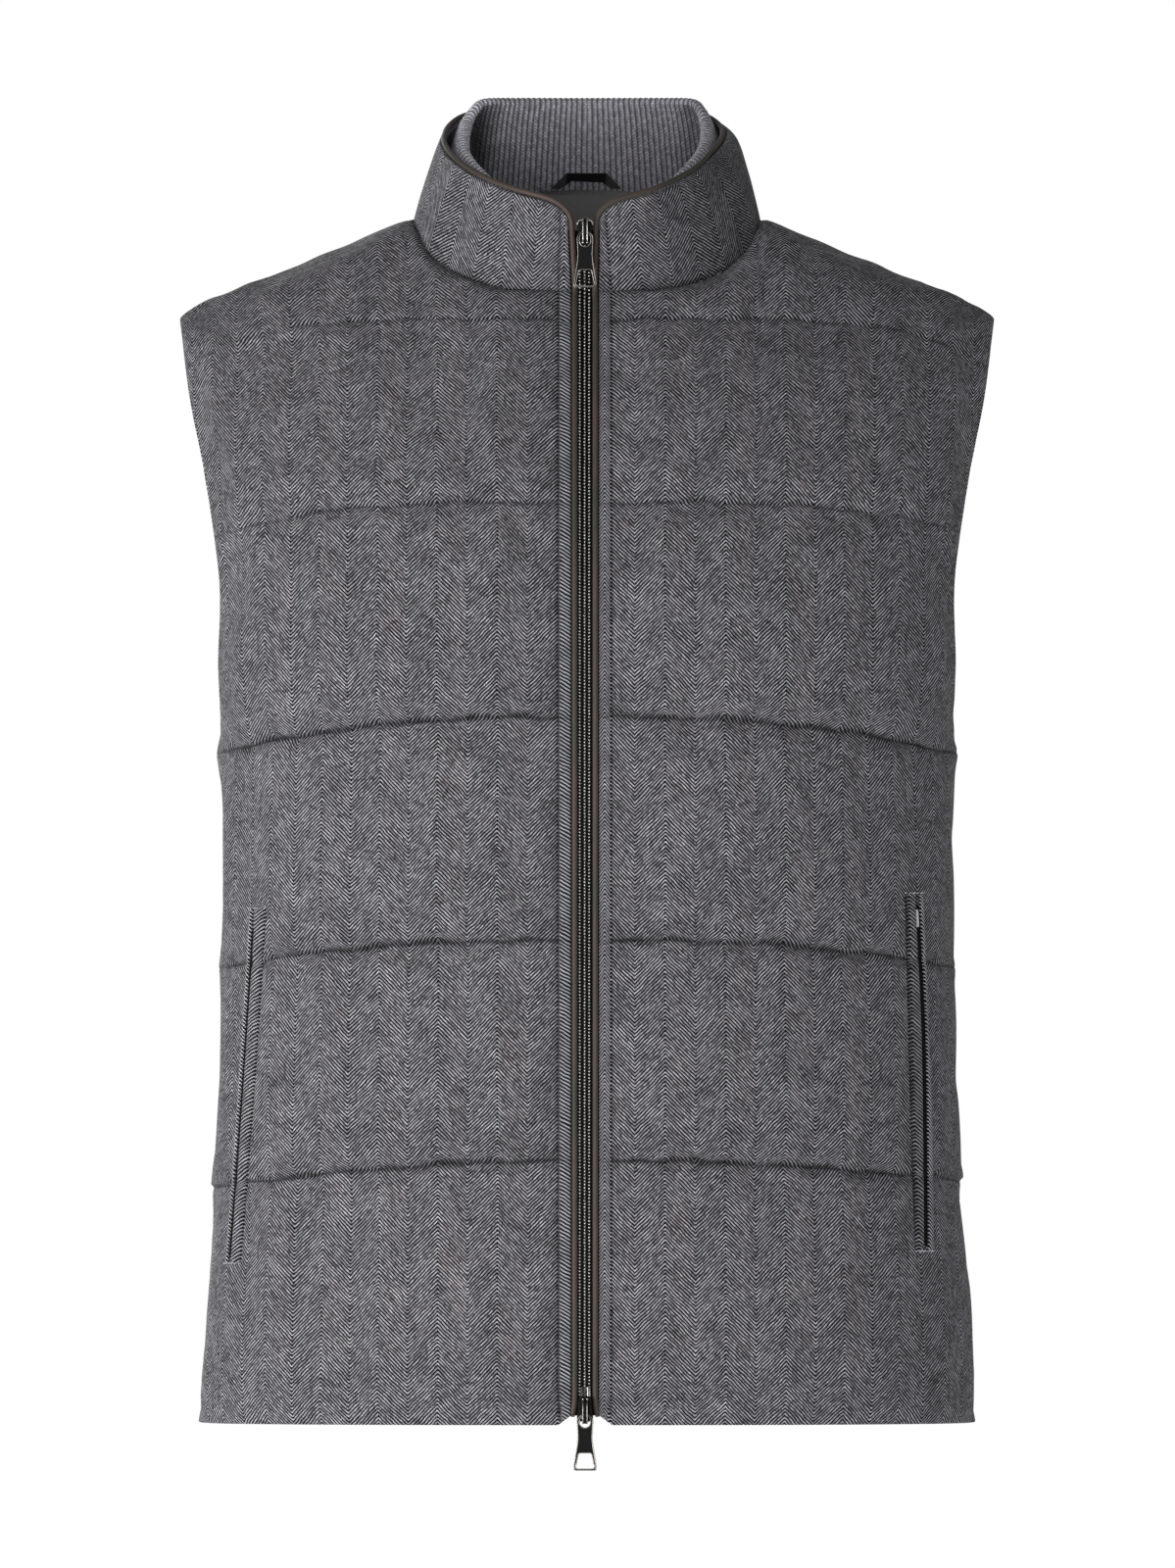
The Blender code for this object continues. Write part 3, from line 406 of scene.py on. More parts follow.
def shoulder_line(x):
    level = SHOULDER_SLOPE * math.hypot(NECK_HALF, RIDGE_ROUND)
    swell = SHOULDER_SWELL * (1 - np.exp(-np.maximum(np.abs(x) - NECK_HALF, 0) / SWELL_REACH))
    return level - SHOULDER_SLOPE * np.hypot(x, RIDGE_ROUND) + swell


def neck_line(x, front):
    part = np.minimum(np.abs(x) / NECK_HALF, 1.0)
    if front:
        return -NECK_FRONT_DROP * (1 - part ** FRONT_NECK_BEND) ** 0.6
    return NECK_BACK_RISE * (1 - part ** BACK_NECK_BEND)


def roll(x, z, front):
    """Share of the full depth that is left where the torso rolls over the shoulder."""
    height, bend = FRONT_ROLL if front else BACK_ROLL
    part = np.clip((shoulder_line(x) - z) / height, 0, 1)
    return (1 - (1 - part) ** bend) ** (1 / bend)


def depth(x, z, front):
    """Distance of the torso's skin in front of or behind the side, at (x, z)."""
    share = np.maximum(1 - (np.abs(x) / follow(TORSO, HALF, z)) ** FULLNESS, 0) ** (1 / FULLNESS)
    return follow(TORSO, FRONT if front else BACK, z) * share * roll(x, z, front)


def quilt_line(index, x):
    """Height of a quilting line over x; a sewn line wavers a little."""
    height, left, right, power = QUILT[index]
    fall = np.where(x < 0, left, right) * np.minimum(np.abs(x) / SIDE_REACH, REACH_LIMIT) ** power
    waver = 0.0005 * np.sin(95 * x + 2.1 * index) + 0.0003 * np.sin(231 * x + 1.3 * index)
    return height - fall + (waver if index else 0)


def row_height(x, index, t, front):
    """Height of the row that lies a share t of the way up the puff above a quilting line."""
    low = quilt_line(index, x)
    if index < LAST_PUFF:
        return low * (1 - t) + quilt_line(index + 1, x) * t
    top = np.where(np.abs(x) < NECK_HALF, neck_line(x, front), shoulder_line(x))
    return top - (top - low) * (1 - t) ** YOKE_SPREAD


def row_path(index, t, side, front, start, samples=240):
    """A row of a panel as a fine path, from x = start to the side seam or the armhole."""
    def settle(angle):
        x = np.full_like(angle, side * start)
        for _ in range(SETTLE):
            z = row_height(x, index, t, front)
            x = side * follow(TORSO, HALF, z) * np.sin(angle) ** (2 / FULLNESS)
        return x, row_height(x, index, t, front)

    end = np.array([math.pi / 2])
    for _ in range(SETTLE):
        edge = follow(ARMHOLE, 1 if front else 2, settle(end)[1])
        end = np.arccos(np.maximum(edge, 0) ** (FULLNESS / 2))
    first_z = row_height(np.array([side * start]), index, t, front)
    first = np.arcsin((start / follow(TORSO, HALF, first_z)) ** (FULLNESS / 2))
    angle = np.linspace(first[0], end[0], samples + 1)
    x, z = settle(angle)
    x[0], z[0] = side * start, first_z[0]
    away = follow(TORSO, FRONT if front else BACK, z) * np.maximum(np.cos(angle), 0) ** (2 / FULLNESS)
    away = away * roll(x, z, front) + SEAM_GAP / 2
    return np.stack((x, -away if front else away, z), axis=1)


def run_of(path):
    """Running length at each point of a path."""
    return np.concatenate(([0.0], np.cumsum(np.linalg.norm(np.diff(path, axis=0), axis=1))))


def run_across(points):
    """Running length along each row of a grid."""
    steps = np.diff(points, axis=1, prepend=points[:, :1])
    return np.cumsum(np.linalg.norm(steps, axis=-1), axis=1)


def at_shares(path, shares):
    """Points of a path at given shares of its length."""
    run = run_of(path)
    want = np.clip(shares, 0, 1) * run[-1]
    return np.stack([np.interp(want, run, path[:, k]) for k in range(3)], axis=1)


def unit(vectors):
    return vectors / np.maximum(np.linalg.norm(vectors, axis=-1, keepdims=True), 1e-12)


def outward(points):
    """Unit normals of a grid of points, away from the middle of the body."""
    facing = unit(np.cross(np.gradient(points, axis=0), np.gradient(points, axis=1)))
    middle = points * (1, 1, 0) + (0, 0, 0.12)
    facing[np.sum(facing * middle, axis=-1) < 0] *= -1
    return facing


print("torso rows:", len(TORSO), "quilting lines:", len(QUILT) - 1)

# %% [markdown]
# A sheet of cloth starts as a grid primitive with one vertex for each crossing of rows and
# columns, and each vertex is moved to its place. The grid keeps the sheet whole and gives it
# even faces. Its chart holds the distance across and up the cloth in metres, for the weave.

# %% Helpers for the cloth


def deselect():
    if bpy.context.object and bpy.context.object.mode != "OBJECT":
        bpy.ops.object.mode_set(mode="OBJECT")
    bpy.ops.object.select_all(action="DESELECT")


def only(piece):
    """Select one piece alone and make it the active one."""
    deselect()
    piece.select_set(True)
    bpy.context.view_layer.objects.active = piece


def places(piece):
    points = np.empty(len(piece.data.vertices) * 3)
    piece.data.vertices.foreach_get("co", points)
    return points.reshape(-1, 3)


def put(piece, points):
    piece.data.vertices.foreach_set("co", np.asarray(points, float).ravel())
    piece.data.update()


def grid_sheet(name, points, chart, crease=None, bold=0.0):
    """A grid primitive whose vertices are moved to points[row, column], with its chart."""
    rows, columns = points.shape[:2]
    deselect()
    bpy.ops.mesh.primitive_grid_add(x_subdivisions=columns - 1, y_subdivisions=rows - 1, size=2)
    piece = bpy.context.object
    piece.name = piece.data.name = name
    flat = places(piece)
    column = np.rint((flat[:, 0] + 1) / 2 * (columns - 1)).astype(int)
    row = np.rint((flat[:, 1] + 1) / 2 * (rows - 1)).astype(int)
    put(piece, points[row, column])
    layer = piece.data.uv_layers.active
    layer.name = "weave"
    corner = np.empty(len(piece.data.loops), int)
    piece.data.loops.foreach_get("vertex_index", corner)
    layer.data.foreach_set("uv", chart[row, column][corner].ravel())
    # The second chart holds painted shade, and where the weave is bold.
    if crease is not None:
        painted_shade_uv = np.stack((crease, np.broadcast_to(bold, crease.shape)), axis=-1)
        layer = piece.data.uv_layers.new(name="crease", do_init=False)
        layer.data.foreach_set("uv", painted_shade_uv[row, column][corner].ravel())
    return piece, row, column


def thicken(piece, inner):
    """Extrude a sheet's faces and move the copy to `inner`, so that the wall is closed."""
    store = piece.data.attributes.new("inner_place", "FLOAT_VECTOR", "POINT")
    store.data.foreach_set("vector", np.asarray(inner, float).ravel())
    only(piece)
    bpy.ops.object.mode_set(mode="EDIT")
    bpy.ops.mesh.select_all(action="SELECT")
    bpy.ops.mesh.extrude_region_move()
    bpy.ops.object.mode_set(mode="OBJECT")
    picked = np.empty(len(piece.data.vertices), bool)
    piece.data.vertices.foreach_get("select", picked)
    target = np.empty(len(picked) * 3)
    piece.data.attributes["inner_place"].data.foreach_get("vector", target)
    moved = np.where(picked[:, None], target.reshape(-1, 3), places(piece))
    put(piece, moved)
    faces = np.empty(len(piece.data.polygons), bool)
    piece.data.polygons.foreach_get("select", faces)
    piece.data.attributes.remove(piece.data.attributes["inner_place"])
    consistent(piece)
    return faces


def consistent(piece, merge=False):
    """Point all faces outwards, after merging doubled points where asked."""
    only(piece)
    bpy.ops.object.mode_set(mode="EDIT")
    bpy.ops.mesh.select_all(action="SELECT")
    if merge:
        bpy.ops.mesh.remove_doubles(threshold=0.00001)
    bpy.ops.mesh.normals_make_consistent(inside=False)
    bpy.ops.object.mode_set(mode="OBJECT")


def apply_modifier(piece, kind, **settings):
    only(piece)
    modifier = piece.modifiers.new("made", kind)
    for key, value in settings.items():
        setattr(modifier, key, value)
    bpy.ops.object.modifier_apply(modifier="made")


def subdivide(piece, levels=1):
    apply_modifier(piece, "SUBSURF", levels=levels, render_levels=levels)
    piece.data.shade_smooth()


def dress(piece, *looks, second=None):
    """Give a piece its finishes; the faces marked in `second` take the second one."""
    piece.data.materials.clear()
    for look in looks:
        piece.data.materials.append(look)
    if second is not None:
        piece.data.polygons.foreach_set("material_index", np.where(second, 1, 0))


def wall(name, outer, inner, chart, looks, crease=None, bold=0.0):
    """A sheet with its thickness; where there are two looks, the second is for its inside."""
    piece, row, column = grid_sheet(name, outer, chart, crease, bold)
    inner_faces = thicken(piece, inner[row, column])
    dress(piece, *looks, second=inner_faces if len(looks) > 1 else None)
    return piece


def sewn_on(piece, slot, *nodes, body="garment"):
    """Attach a finished piece to the body it rides on and hide the solids that it stands for; the slot is not
    used.
    """
    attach(piece, body)
    if nodes:
        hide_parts(*nodes)


# %% [markdown]
# The cloth's chart must not depend on the puffs, or the weave would swim over them. Across, it
# is the distance round the torso from the front edge, and up, the distance from the hem over
# the chest. Both are read from tables that are worked out from the torso's own rules. In the
# yoke, where the cloth rolls over to lie nearly flat, the height is measured along the cloth.

# %% Chart of the cloth
GIRTH_TOP = -0.10            # above the chest the cloth hangs straight from this level
CHART_REACH = 0.16           # the height is measured no further to the side than this
PUFF_ROWS = (30, 27, 27, 27, 24, 14)         # rows of each puff, hem to shoulder
GIRTH_LEVELS = np.linspace(TORSO[0, 0], GIRTH_TOP, 60)
GIRTH_ANGLES = np.linspace(0, math.pi / 2, 500)
RISE_ACROSS = np.linspace(0, CHART_REACH, 33)
RISE_LEVELS = np.linspace(TORSO[0, 0] - 0.005, 0.05, 400)


def girth_rows(front):
    """Distance round the torso from the middle, for each level and angle."""
    half = follow(TORSO, HALF, GIRTH_LEVELS)[:, None]
    far = follow(TORSO, FRONT if front else BACK, GIRTH_LEVELS)[:, None]
    x = half * np.sin(GIRTH_ANGLES) ** (2 / FULLNESS)
    y = far * np.maximum(np.cos(GIRTH_ANGLES), 0) ** (2 / FULLNESS)
    steps = np.hypot(np.diff(x, axis=1), np.diff(y, axis=1))
    return np.pad(np.cumsum(steps, axis=1), ((0, 0), (1, 0)))


def rise_rows(front):
    """Distance up the torso from the hem, for each place across and level."""
    away = depth(RISE_ACROSS[:, None], RISE_LEVELS[None, :], front)
    steps = np.hypot(np.diff(away, axis=1), np.diff(RISE_LEVELS))
    return np.pad(np.cumsum(steps, axis=1), ((0, 0), (1, 0)))


def between(grid, row_keys, column_keys, at_row, at_column):
    """Read a table between its rows and columns."""
    r = np.interp(at_row, row_keys, np.arange(len(row_keys)))
    c = np.interp(at_column, column_keys, np.arange(len(column_keys)))
    i = np.minimum(r.astype(int), len(row_keys) - 2)
    j = np.minimum(c.astype(int), len(column_keys) - 2)
    r, c = r - i, c - j
    low = grid[i, j] * (1 - c) + grid[i, j + 1] * c
    high = grid[i + 1, j] * (1 - c) + grid[i + 1, j + 1] * c
    return low * (1 - r) + high * r


def band_chart(chart, points, side):
    """The band beside the zip is cut on its own: low slants on the left, a peak on the right."""
    run = run_across(points)
    across = HERRING_COLUMN + 0.004 + 0.58 * run if side < 0 else 1.3 * (run - 0.0033)
    chart[..., 0] = np.where(run < BAND - 0.0002, across, chart[..., 0])
    return chart


def cloth_chart(points, front, peak):
    """Chart of a panel's points; a column of the herringbone turns upwards at `peak`."""
    x, z = points[..., 0], points[..., 2]
    level = np.minimum(z, GIRTH_TOP)
    share = np.clip(np.abs(x) / follow(TORSO, HALF, level), 0, 1)
    angle = np.arcsin(share ** (FULLNESS / 2))
    across = between(girth_rows(front), GIRTH_LEVELS, GIRTH_ANGLES, level, angle)
    up = between(rise_rows(front), RISE_ACROSS, RISE_LEVELS, np.minimum(np.abs(x), CHART_REACH), z)
    yoke = sum(PUFF_ROWS[:LAST_PUFF])        # from here the height is measured along the cloth
    steps = np.linalg.norm(np.diff(points[yoke:], axis=0), axis=-1)
    up[yoke + 1:] = up[yoke] + np.cumsum(steps, axis=0)
    return np.stack((across - peak, up), axis=-1)


# %% [markdown]
# Each panel is outer cloth, wadding and lining, sewn through along the quilting lines. Between
# two lines the wadding stands out and sags, so a puff is fullest low down. The rows of the grid
# lie close together at every line, where the cloth dips, and wide apart between them.

# %% Panel grids
PUFF_BELOW, PUFF_ABOVE = 0.35, 0.80
FRONT_PINCH, SIDE_PINCH = 0.012, 0.014
ROWS_PINCH, COLUMNS_PINCH = 0.80, 0.45       # how much closer they lie at the ends
LINE_LIFT = (0.0, 0.0, 0.0, 0.0, 0.62, 0.66) # share of the puff that stays at each line
LINE_DIP = (0.0, 0.0011, 0.0011, 0.0011, 0.0010, 0.0010)
SIDE_LIFT, SIDE_SMOOTH, SIDE_FADE = 0.90, 0.060, 0.45     # near the side seam a line hardly sinks
LINE_PAINTED_SHADE = (                # painted shade on each line, softly above it, softly below it
    (0.10, 0.00, 0.00), (0.62, 0.26, 0.05), (0.62, 0.26, 0.05), (0.70, 0.28, 0.05),
    (0.45, 0.06, 0.03), (0.45, 0.06, 0.03))
LINE_SHADE, SHADE_ABOVE, SHADE_BELOW = 0.0011, 0.0075, 0.005
# Painted shade in the band's groove, along the front edge and beside the band, and under the neck seam, with
# its most.
BAND_SHARE, GROOVE_PAINTED_SHADE, EDGE_PAINTED_SHADE, BESIDE_BAND_SHADE = 0.3, 0.72, 0.45, 0.10
NECK_PAINTED_SHADE, MOST_PAINTED_SHADE = (0.55, 0.22), 0.85
NECK_DIP = 0.0012            # the cloth turns in at the neck seam
CHAMFER, CHAMFER_WIDE, CHAMFER_REACH = 0.0056, 0.0074, 0.022      # the hem's cut corner
BACK_RISE, BACK_RISE_WIDE = 0.0036, 0.10     # the back's hem curves up in its middle
HEM_REACH = 0.010
BAND_COLUMNS = (0.0, 0.0012, 0.0032, 0.0052, 0.0066, 0.0073, 0.0080, 0.0094, 0.0118, 0.0155)
BAND_DIP, BAND_BOLD = 0.0009, {-1: 0.85, 1: 0.55}
FRONT_REST, BACK_CELLS = 36, 36
FRONT_TOP_SEAM = TORSO[5, 0] + 0.004         # the side seam ends here, at the armhole


def crowded(count, pinch):
    """Shares from 0 to 1 that lie closer together at both ends."""
    s = np.linspace(0, 1, count + 1)
    return s - pinch * np.sin(2 * math.pi * s) / (2 * math.pi)


def band_groove(run, wide=0.0006):
    """The stitched groove beside the front edge, 1 at its middle."""
    return np.exp(-((run - BAND) / wide) ** 2)


def beside_seam(distance, reach=SIDE_SMOOTH):
    """1 at a seam, falling softly to 0 within a reach."""
    return np.exp(-(distance / reach) ** 2)


def near_hem(points):
    """1 at the hem, falling to 0 at the height where its shape ends."""
    return np.clip(1 - (points[..., 2] - QUILT[0, 0]) / CHAMFER_REACH, 0, 1)


def puff_shape(t):
    """Fullness at a share of the way up from one line to the next, 1 at its most."""
    peak = PUFF_BELOW / (PUFF_BELOW + PUFF_ABOVE)
    return (t / peak) ** PUFF_BELOW * ((1 - t) / (1 - peak)) ** PUFF_ABOVE


def panel_rows():
    """Each row of a panel as the puff it lies in and its share of the way up."""
    rows = []
    for index, count in enumerate(PUFF_ROWS):
        rows += [(index, t) for t in crowded(count, ROWS_PINCH)[:-1]]
    return rows + [(LAST_PUFF, 1.0)]


def half_panel(side, front, start):
    """Grid of a half panel on the torso's skin, hem row first, middle column first."""
    grid = []
    top_path = row_path(LAST_PUFF, 1.0, side, front, start, samples=600)
    top_run = run_of(top_path)
    neck = np.interp(NECK_HALF, np.abs(top_path[:, 0]), top_run) / top_run[-1]
    for index, t in panel_rows():
        path = top_path if t == 1.0 else row_path(index, t, side, front, start)
        length = run_of(path)[-1]
        if front:
            rest = BAND_COLUMNS[-1] + (length - BAND_COLUMNS[-1]) * crowded(FRONT_REST, COLUMNS_PINCH)[1:]
            even = np.concatenate((BAND_COLUMNS, rest)) / length
        else:
            even = np.linspace(0, 1, BACK_CELLS + 1)
        if t == 1.0 or index == LAST_PUFF:
            nearest = int(np.argmin(np.abs(even - neck)))
            seated = np.interp(even, (0, even[nearest], 1), (0, neck, 1))
            share = t * t
            even = even * (1 - share) + seated * share
        grid.append(at_shares(path, even))
    return np.array(grid), nearest


def chamfered(points):
    """Cut off the hem's corner beside the zip by raising the hem there."""
    share = np.clip(1 - run_across(points) / CHAMFER_WIDE, 0, None) * near_hem(points)
    return points + (CHAMFER * share)[..., None] * (0, 0, 1)


def back_raised(points):
    """Curve the back's hem up a little in its middle."""
    share = beside_seam(points[..., 0], BACK_RISE_WIDE) * near_hem(points)
    return points + (BACK_RISE * share)[..., None] * (0, 0, 1)


def puffed(grid, front):
    """Heights of the cloth above the skin."""
    height = np.zeros(grid.shape[:2])
    for j, (index, t) in enumerate(panel_rows()):
        run = run_of(grid[j])
        from_side = run[-1] - run
        at_side = beside_seam(from_side)
        pinch = 1 - np.exp(-from_side / SIDE_PINCH)
        if front:
            pinch = pinch * (1 - np.exp(-np.maximum(run - BAND, 0) / FRONT_PINCH))
        above = LINE_LIFT[index + 1] if index < LAST_PUFF else 0.0
        lift = LINE_LIFT[index] * (1 - t) + above * t
        if index > 0:
            lift = lift + np.maximum(SIDE_LIFT - lift, 0) * at_side
        full = PUFF * (lift + (1 - lift) * puff_shape(t)) * pinch
        full = np.maximum(full, HEM_PUFF * beside_seam(grid[j][:, 2] - QUILT[0, 0], HEM_REACH))
        if t == 0.0:
            full = full - LINE_DIP[index] * (1 - at_side)
        if front:
            full = full - BAND_DIP * band_groove(run)
        if t == 1.0:
            full = full - np.where(np.abs(grid[j][:, 0]) < NECK_HALF, NECK_DIP, 0)
        height[j] = full
    return height


def painted_crease_shade(grid, front):
    """Painted shade: the share of the colour darkened on each line, softly above it, and along the seams."""
    painted_shading = np.zeros(grid.shape[:2])
    for j, (index, t) in enumerate(panel_rows()):
        run, x, z = run_of(grid[j]), grid[j][:, 0], grid[j][:, 2]
        over = z - quilt_line(index, x)
        sharp, soft, _ = LINE_PAINTED_SHADE[index]
        row = sharp * beside_seam(over, LINE_SHADE) + soft * np.exp(-over / SHADE_ABOVE)
        if index < LAST_PUFF:
            under = quilt_line(index + 1, x) - z
            sharp, _, soft = LINE_PAINTED_SHADE[index + 1]
            row = row + sharp * beside_seam(under, LINE_SHADE) * (t > 0) + soft * np.exp(-under / SHADE_BELOW)
        row = row * (1 - SIDE_FADE * beside_seam(run[-1] - run))
        if front:
            row = np.where(run < BAND, row * BAND_SHARE, row)
            row = row + GROOVE_PAINTED_SHADE * band_groove(run, 0.0005) + EDGE_PAINTED_SHADE * np.exp(-run / 0.0007)
            row = row + BESIDE_BAND_SHADE * np.exp(-np.maximum(run - BAND, 0) / 0.007) * (run > BAND)
        painted_shading[j] = row
    to_neck = np.linalg.norm(grid - grid[-1:], axis=-1)
    seam = NECK_PAINTED_SHADE[0] * np.exp(-to_neck / 0.0018) + NECK_PAINTED_SHADE[1] * np.exp(-to_neck / 0.008)
    return np.minimum(painted_shading + np.where(np.abs(grid[..., 0]) < NECK_HALF, seam, 0), MOST_PAINTED_SHADE)


def facing_of(grid, flats):
    """Outward normals of a panel; an edge in flats has none across its seam."""
    facing = outward(grid)
    for mask, axis in flats:
        facing[mask, axis] = 0.0
    return unit(facing)


fronts, neck_front = {}, {}
for side, name in ((-1, "front_left"), (1, "front_right")):
    grid, neck_column = half_panel(side, True, abs(ZIP_X + side * EDGE_OFFSET))
    at_edge = np.zeros(grid.shape[:2], bool)
    at_edge[:, 0] = True
    at_side = np.zeros_like(at_edge)
    at_side[:, -1] = grid[:, -1, 2] < FRONT_TOP_SEAM
    at_shoulder = np.zeros_like(at_edge)
    at_shoulder[-1, neck_column:] = True
    facing = facing_of(grid, ((at_edge, 0), (at_side, 1), (at_shoulder, 1)))
    grid = chamfered(grid)
    fronts[side] = (name, grid, facing)
    neck_front[side] = grid[-1][:neck_column + 1]
print("front grid:", fronts[1][1].shape, "neck columns:", neck_column)

halves = {side: half_panel(side, False, 1e-6) for side in (-1, 1)}
back_neck = halves[1][1]
back_grid = np.concatenate((halves[-1][0][:, :0:-1], halves[1][0]), axis=1)
neck_back = {side: halves[side][0][-1][:back_neck + 1] for side in (-1, 1)}
at_side = np.zeros(back_grid.shape[:2], bool)
for column in (0, -1):
    at_side[:, column] = back_grid[:, column, 2] < FRONT_TOP_SEAM
at_shoulder = np.zeros_like(at_side)
at_shoulder[-1, :BACK_CELLS - back_neck + 1] = True
at_shoulder[-1, BACK_CELLS + back_neck:] = True
back_facing = facing_of(back_grid, ((at_side, 1), (at_shoulder, 1)))
back_grid = back_raised(back_grid)
print("back grid:", back_grid.shape)

# %% [markdown]
# The puffs are then settled as real cloth. Each panel's sheet is pinned along its seams and
# quilting lines, the cloth gets a little spare length, and a soft pressure stands for the
# wadding. Twenty steps are enough for it to find its soft creases. A cap keeps each point near
# the modelled puff, and the result is applied, so that the mesh is final.

# %% Settle and finish the panels
PRESSURE, SPARE_CLOTH, CLOTH_STEPS, CLOTH_CAP = 1.2, -0.012, 20, 0.0022
LEFT_PEAK, RIGHT_PEAK = 0.0077 + abs(ZIP_X - EDGE_OFFSET), 0.0033 + abs(ZIP_X + EDGE_OFFSET)


def settle(piece, sewn):
    """Let the wadding press the cloth out between its seams."""
    start = places(piece)
    group = piece.vertex_groups.new(name="sewn")
    group.add([int(k) for k in np.flatnonzero(sewn)], 1.0, "REPLACE")
    only(piece)
    cloth = piece.modifiers.new("cloth", "CLOTH")
    cloth.settings.quality = 6
    cloth.settings.mass = 0.3
    cloth.settings.tension_stiffness = 15
    cloth.settings.compression_stiffness = 15
    cloth.settings.bending_stiffness = 0.6
    cloth.settings.vertex_group_mass = "sewn"
    cloth.settings.shrink_min = SPARE_CLOTH
    cloth.settings.use_pressure = True
    cloth.settings.uniform_pressure_force = PRESSURE
    cloth.settings.effector_weights.gravity = 0
    cloth.collision_settings.use_collision = False
    for step in range(1, CLOTH_STEPS + 1):
        scene.frame_set(step)
    bpy.ops.object.modifier_apply(modifier="cloth")
    moved = places(piece) - start
    length = np.linalg.norm(moved, axis=1, keepdims=True)
    put(piece, start + moved * np.minimum(1, CLOTH_CAP / np.maximum(length, 1e-9)))
    piece.vertex_groups.clear()
    scene.frame_set(1)
    return float(length.max()), float(np.median(length))


def finish_panel(name, grid, facing, height, chart, crease, bold=0.0):
    """One padded panel: outer cloth, rim and lining in a closed wall."""
    outer = grid + facing * height[..., None]
    inner = grid - facing * LINING_DEPTH
    piece, row, column = grid_sheet(name + "_quilt", outer, chart, crease, bold)
    rows, columns = grid.shape[:2]
    line_rows = np.cumsum(PUFF_ROWS)
    sewn = np.isin(row, line_rows) | (row == 0) | (row == rows - 1) | (column == 0) | (column == columns - 1)
    if columns < 2 * BACK_CELLS:
        sewn |= column < len(BAND_COLUMNS)
    print(name, "moved (m):", settle(piece, sewn))
    dress(piece, wool, lining, second=thicken(piece, inner[row, column]))
    subdivide(piece)
    sewn_on(piece, "herringbone", name)
    print(name, len(piece.data.polygons), "faces")
    return piece


panels = {}
for side, peak in ((-1, LEFT_PEAK), (1, RIGHT_PEAK)):
    name, grid, facing = fronts[side]
    chart = band_chart(cloth_chart(grid, True, peak), grid, side)
    bold = np.where(np.arange(grid.shape[1]) < BAND_COLUMNS.index(0.0066), BAND_BOLD[side], 0.0)
    panels[side] = finish_panel(name, grid, facing, puffed(grid, True), chart, painted_crease_shade(grid, True), bold)
back_puff = np.concatenate([puffed(back_grid[:, BACK_CELLS::-1], False)[:, ::-1],
                            puffed(back_grid[:, BACK_CELLS:], False)[:, 1:]], axis=1)
panels[0] = finish_panel("back", back_grid, back_facing, back_puff, cloth_chart(back_grid, False, 0.0),
                         painted_crease_shade(back_grid, False))

# %% [markdown]
# The collar stands on the neck seam. It is one band of the same wool, stiffened so that it keeps
# a curve, and on the right its top edge turns in, so that the band bulges a little beyond it.
# Its lower edge takes the panels' own neck seam, and its upper edge a smooth line through a few
# measured places, so the two meet with nothing to fit.

# %% Collar
COLLAR_TOP = np.array((      # left, right, depth and height, from the zip to the centre back
    (0.0108, 0.0072, -0.0740, -0.0015), (0.0138, 0.0103, -0.0742, 0.0035),
    (0.0220, 0.0190, -0.0735, 0.0085), (0.0400, 0.0369, -0.0670, 0.0135),
    (0.0560, 0.0500, -0.0565, 0.0195), (0.0702, 0.0632, -0.0425, 0.0275),
    (0.0800, 0.0715, -0.0230, 0.0365), (0.0828, 0.0775, -0.0040, 0.0440),
    (0.0795, 0.0785, 0.0160, 0.0510), (0.0690, 0.0705, 0.0335, 0.0570),
    (0.0450, 0.0500, 0.0465, 0.0600), (0.0000, 0.0000, 0.0520, 0.0610)))
COLLAR_SWELL = np.array((    # rise, bulge of the left and the right side
    (0.00, 0.0000, 0.0000), (0.30, 0.0002, 0.0018), (0.60, 0.0002, 0.0038),
    (0.85, 0.0002, 0.0057), (0.94, 0.0001, 0.0047), (1.00, 0.0000, 0.0000)))
COLLAR_RISES = (0.0, 0.012, 0.035, 0.07, 0.12, 0.19, 0.27, 0.35, 0.44, 0.53, 0.62, 0.71, 0.79,
                0.86, 0.91, 0.95, 0.98, 1.0)
COLLAR_WALL, COLLAR_TUCK, COLLAR_SIDE, COLLAR_PUFF = 0.0030, 0.0018, 0.09, 0.0009
COLLAR_CUT_START = 0.0035    # where in the herringbone the band is cut
AWAY_PAINTED_SHADE = 0.32             # painted shade where the collar turns away from the light on the right


def smooth_path(points, per_span=12):
    """A finer path on a smooth curve through the points."""
    before = np.vstack((points[:1], points[:-2]))
    after = np.vstack((points[2:], points[-1:]))
    t = np.linspace(0, 1, per_span, endpoint=False)[None, :, None]
    a, b = points[:-1, None], points[1:, None]
    start, end = (b - before[:, None]) / 2, (after[:, None] - a) / 2
    path = a + t * (start + t * (3 * (b - a) - 2 * start - end + t * (start + end - 2 * (b - a))))
    return np.vstack((path.reshape(-1, 3), points[-1:]))


def top_loop(rows, side):
    """A collar's top edge from the zip to the centre back on one side."""
    across = side * rows[:, 0 if side < 0 else 1]
    return smooth_path(np.column_stack((across, rows[:, 2], rows[:, 3])))


def half_loop(side):
    """The neck seam from the zip to the centre back on one side."""
    return np.vstack((neck_front[side], neck_back[side][-2::-1]))


def whole(left, right):
    """Join two half rows, from the left of the zip round to its right."""
    return np.concatenate((left, right[-2::-1]))


def collar_row(rise):
    sides = []
    for side, column in ((-1, 1), (1, 2)):
        low = half_loop(side)
        run = run_of(low)
        high = at_shares(top_loop(COLLAR_TOP, side), run / run[-1])
        line = low + (high - low) * rise - np.array((0, 0, COLLAR_TUCK * (1 - rise)))
        swell = follow(COLLAR_SWELL, column, np.array(rise))
        line[:, 0] += side * swell * np.minimum(np.abs(line[:, 0]) / COLLAR_SIDE, 1) ** 3
        sides.append(line)
    return whole(*sides)


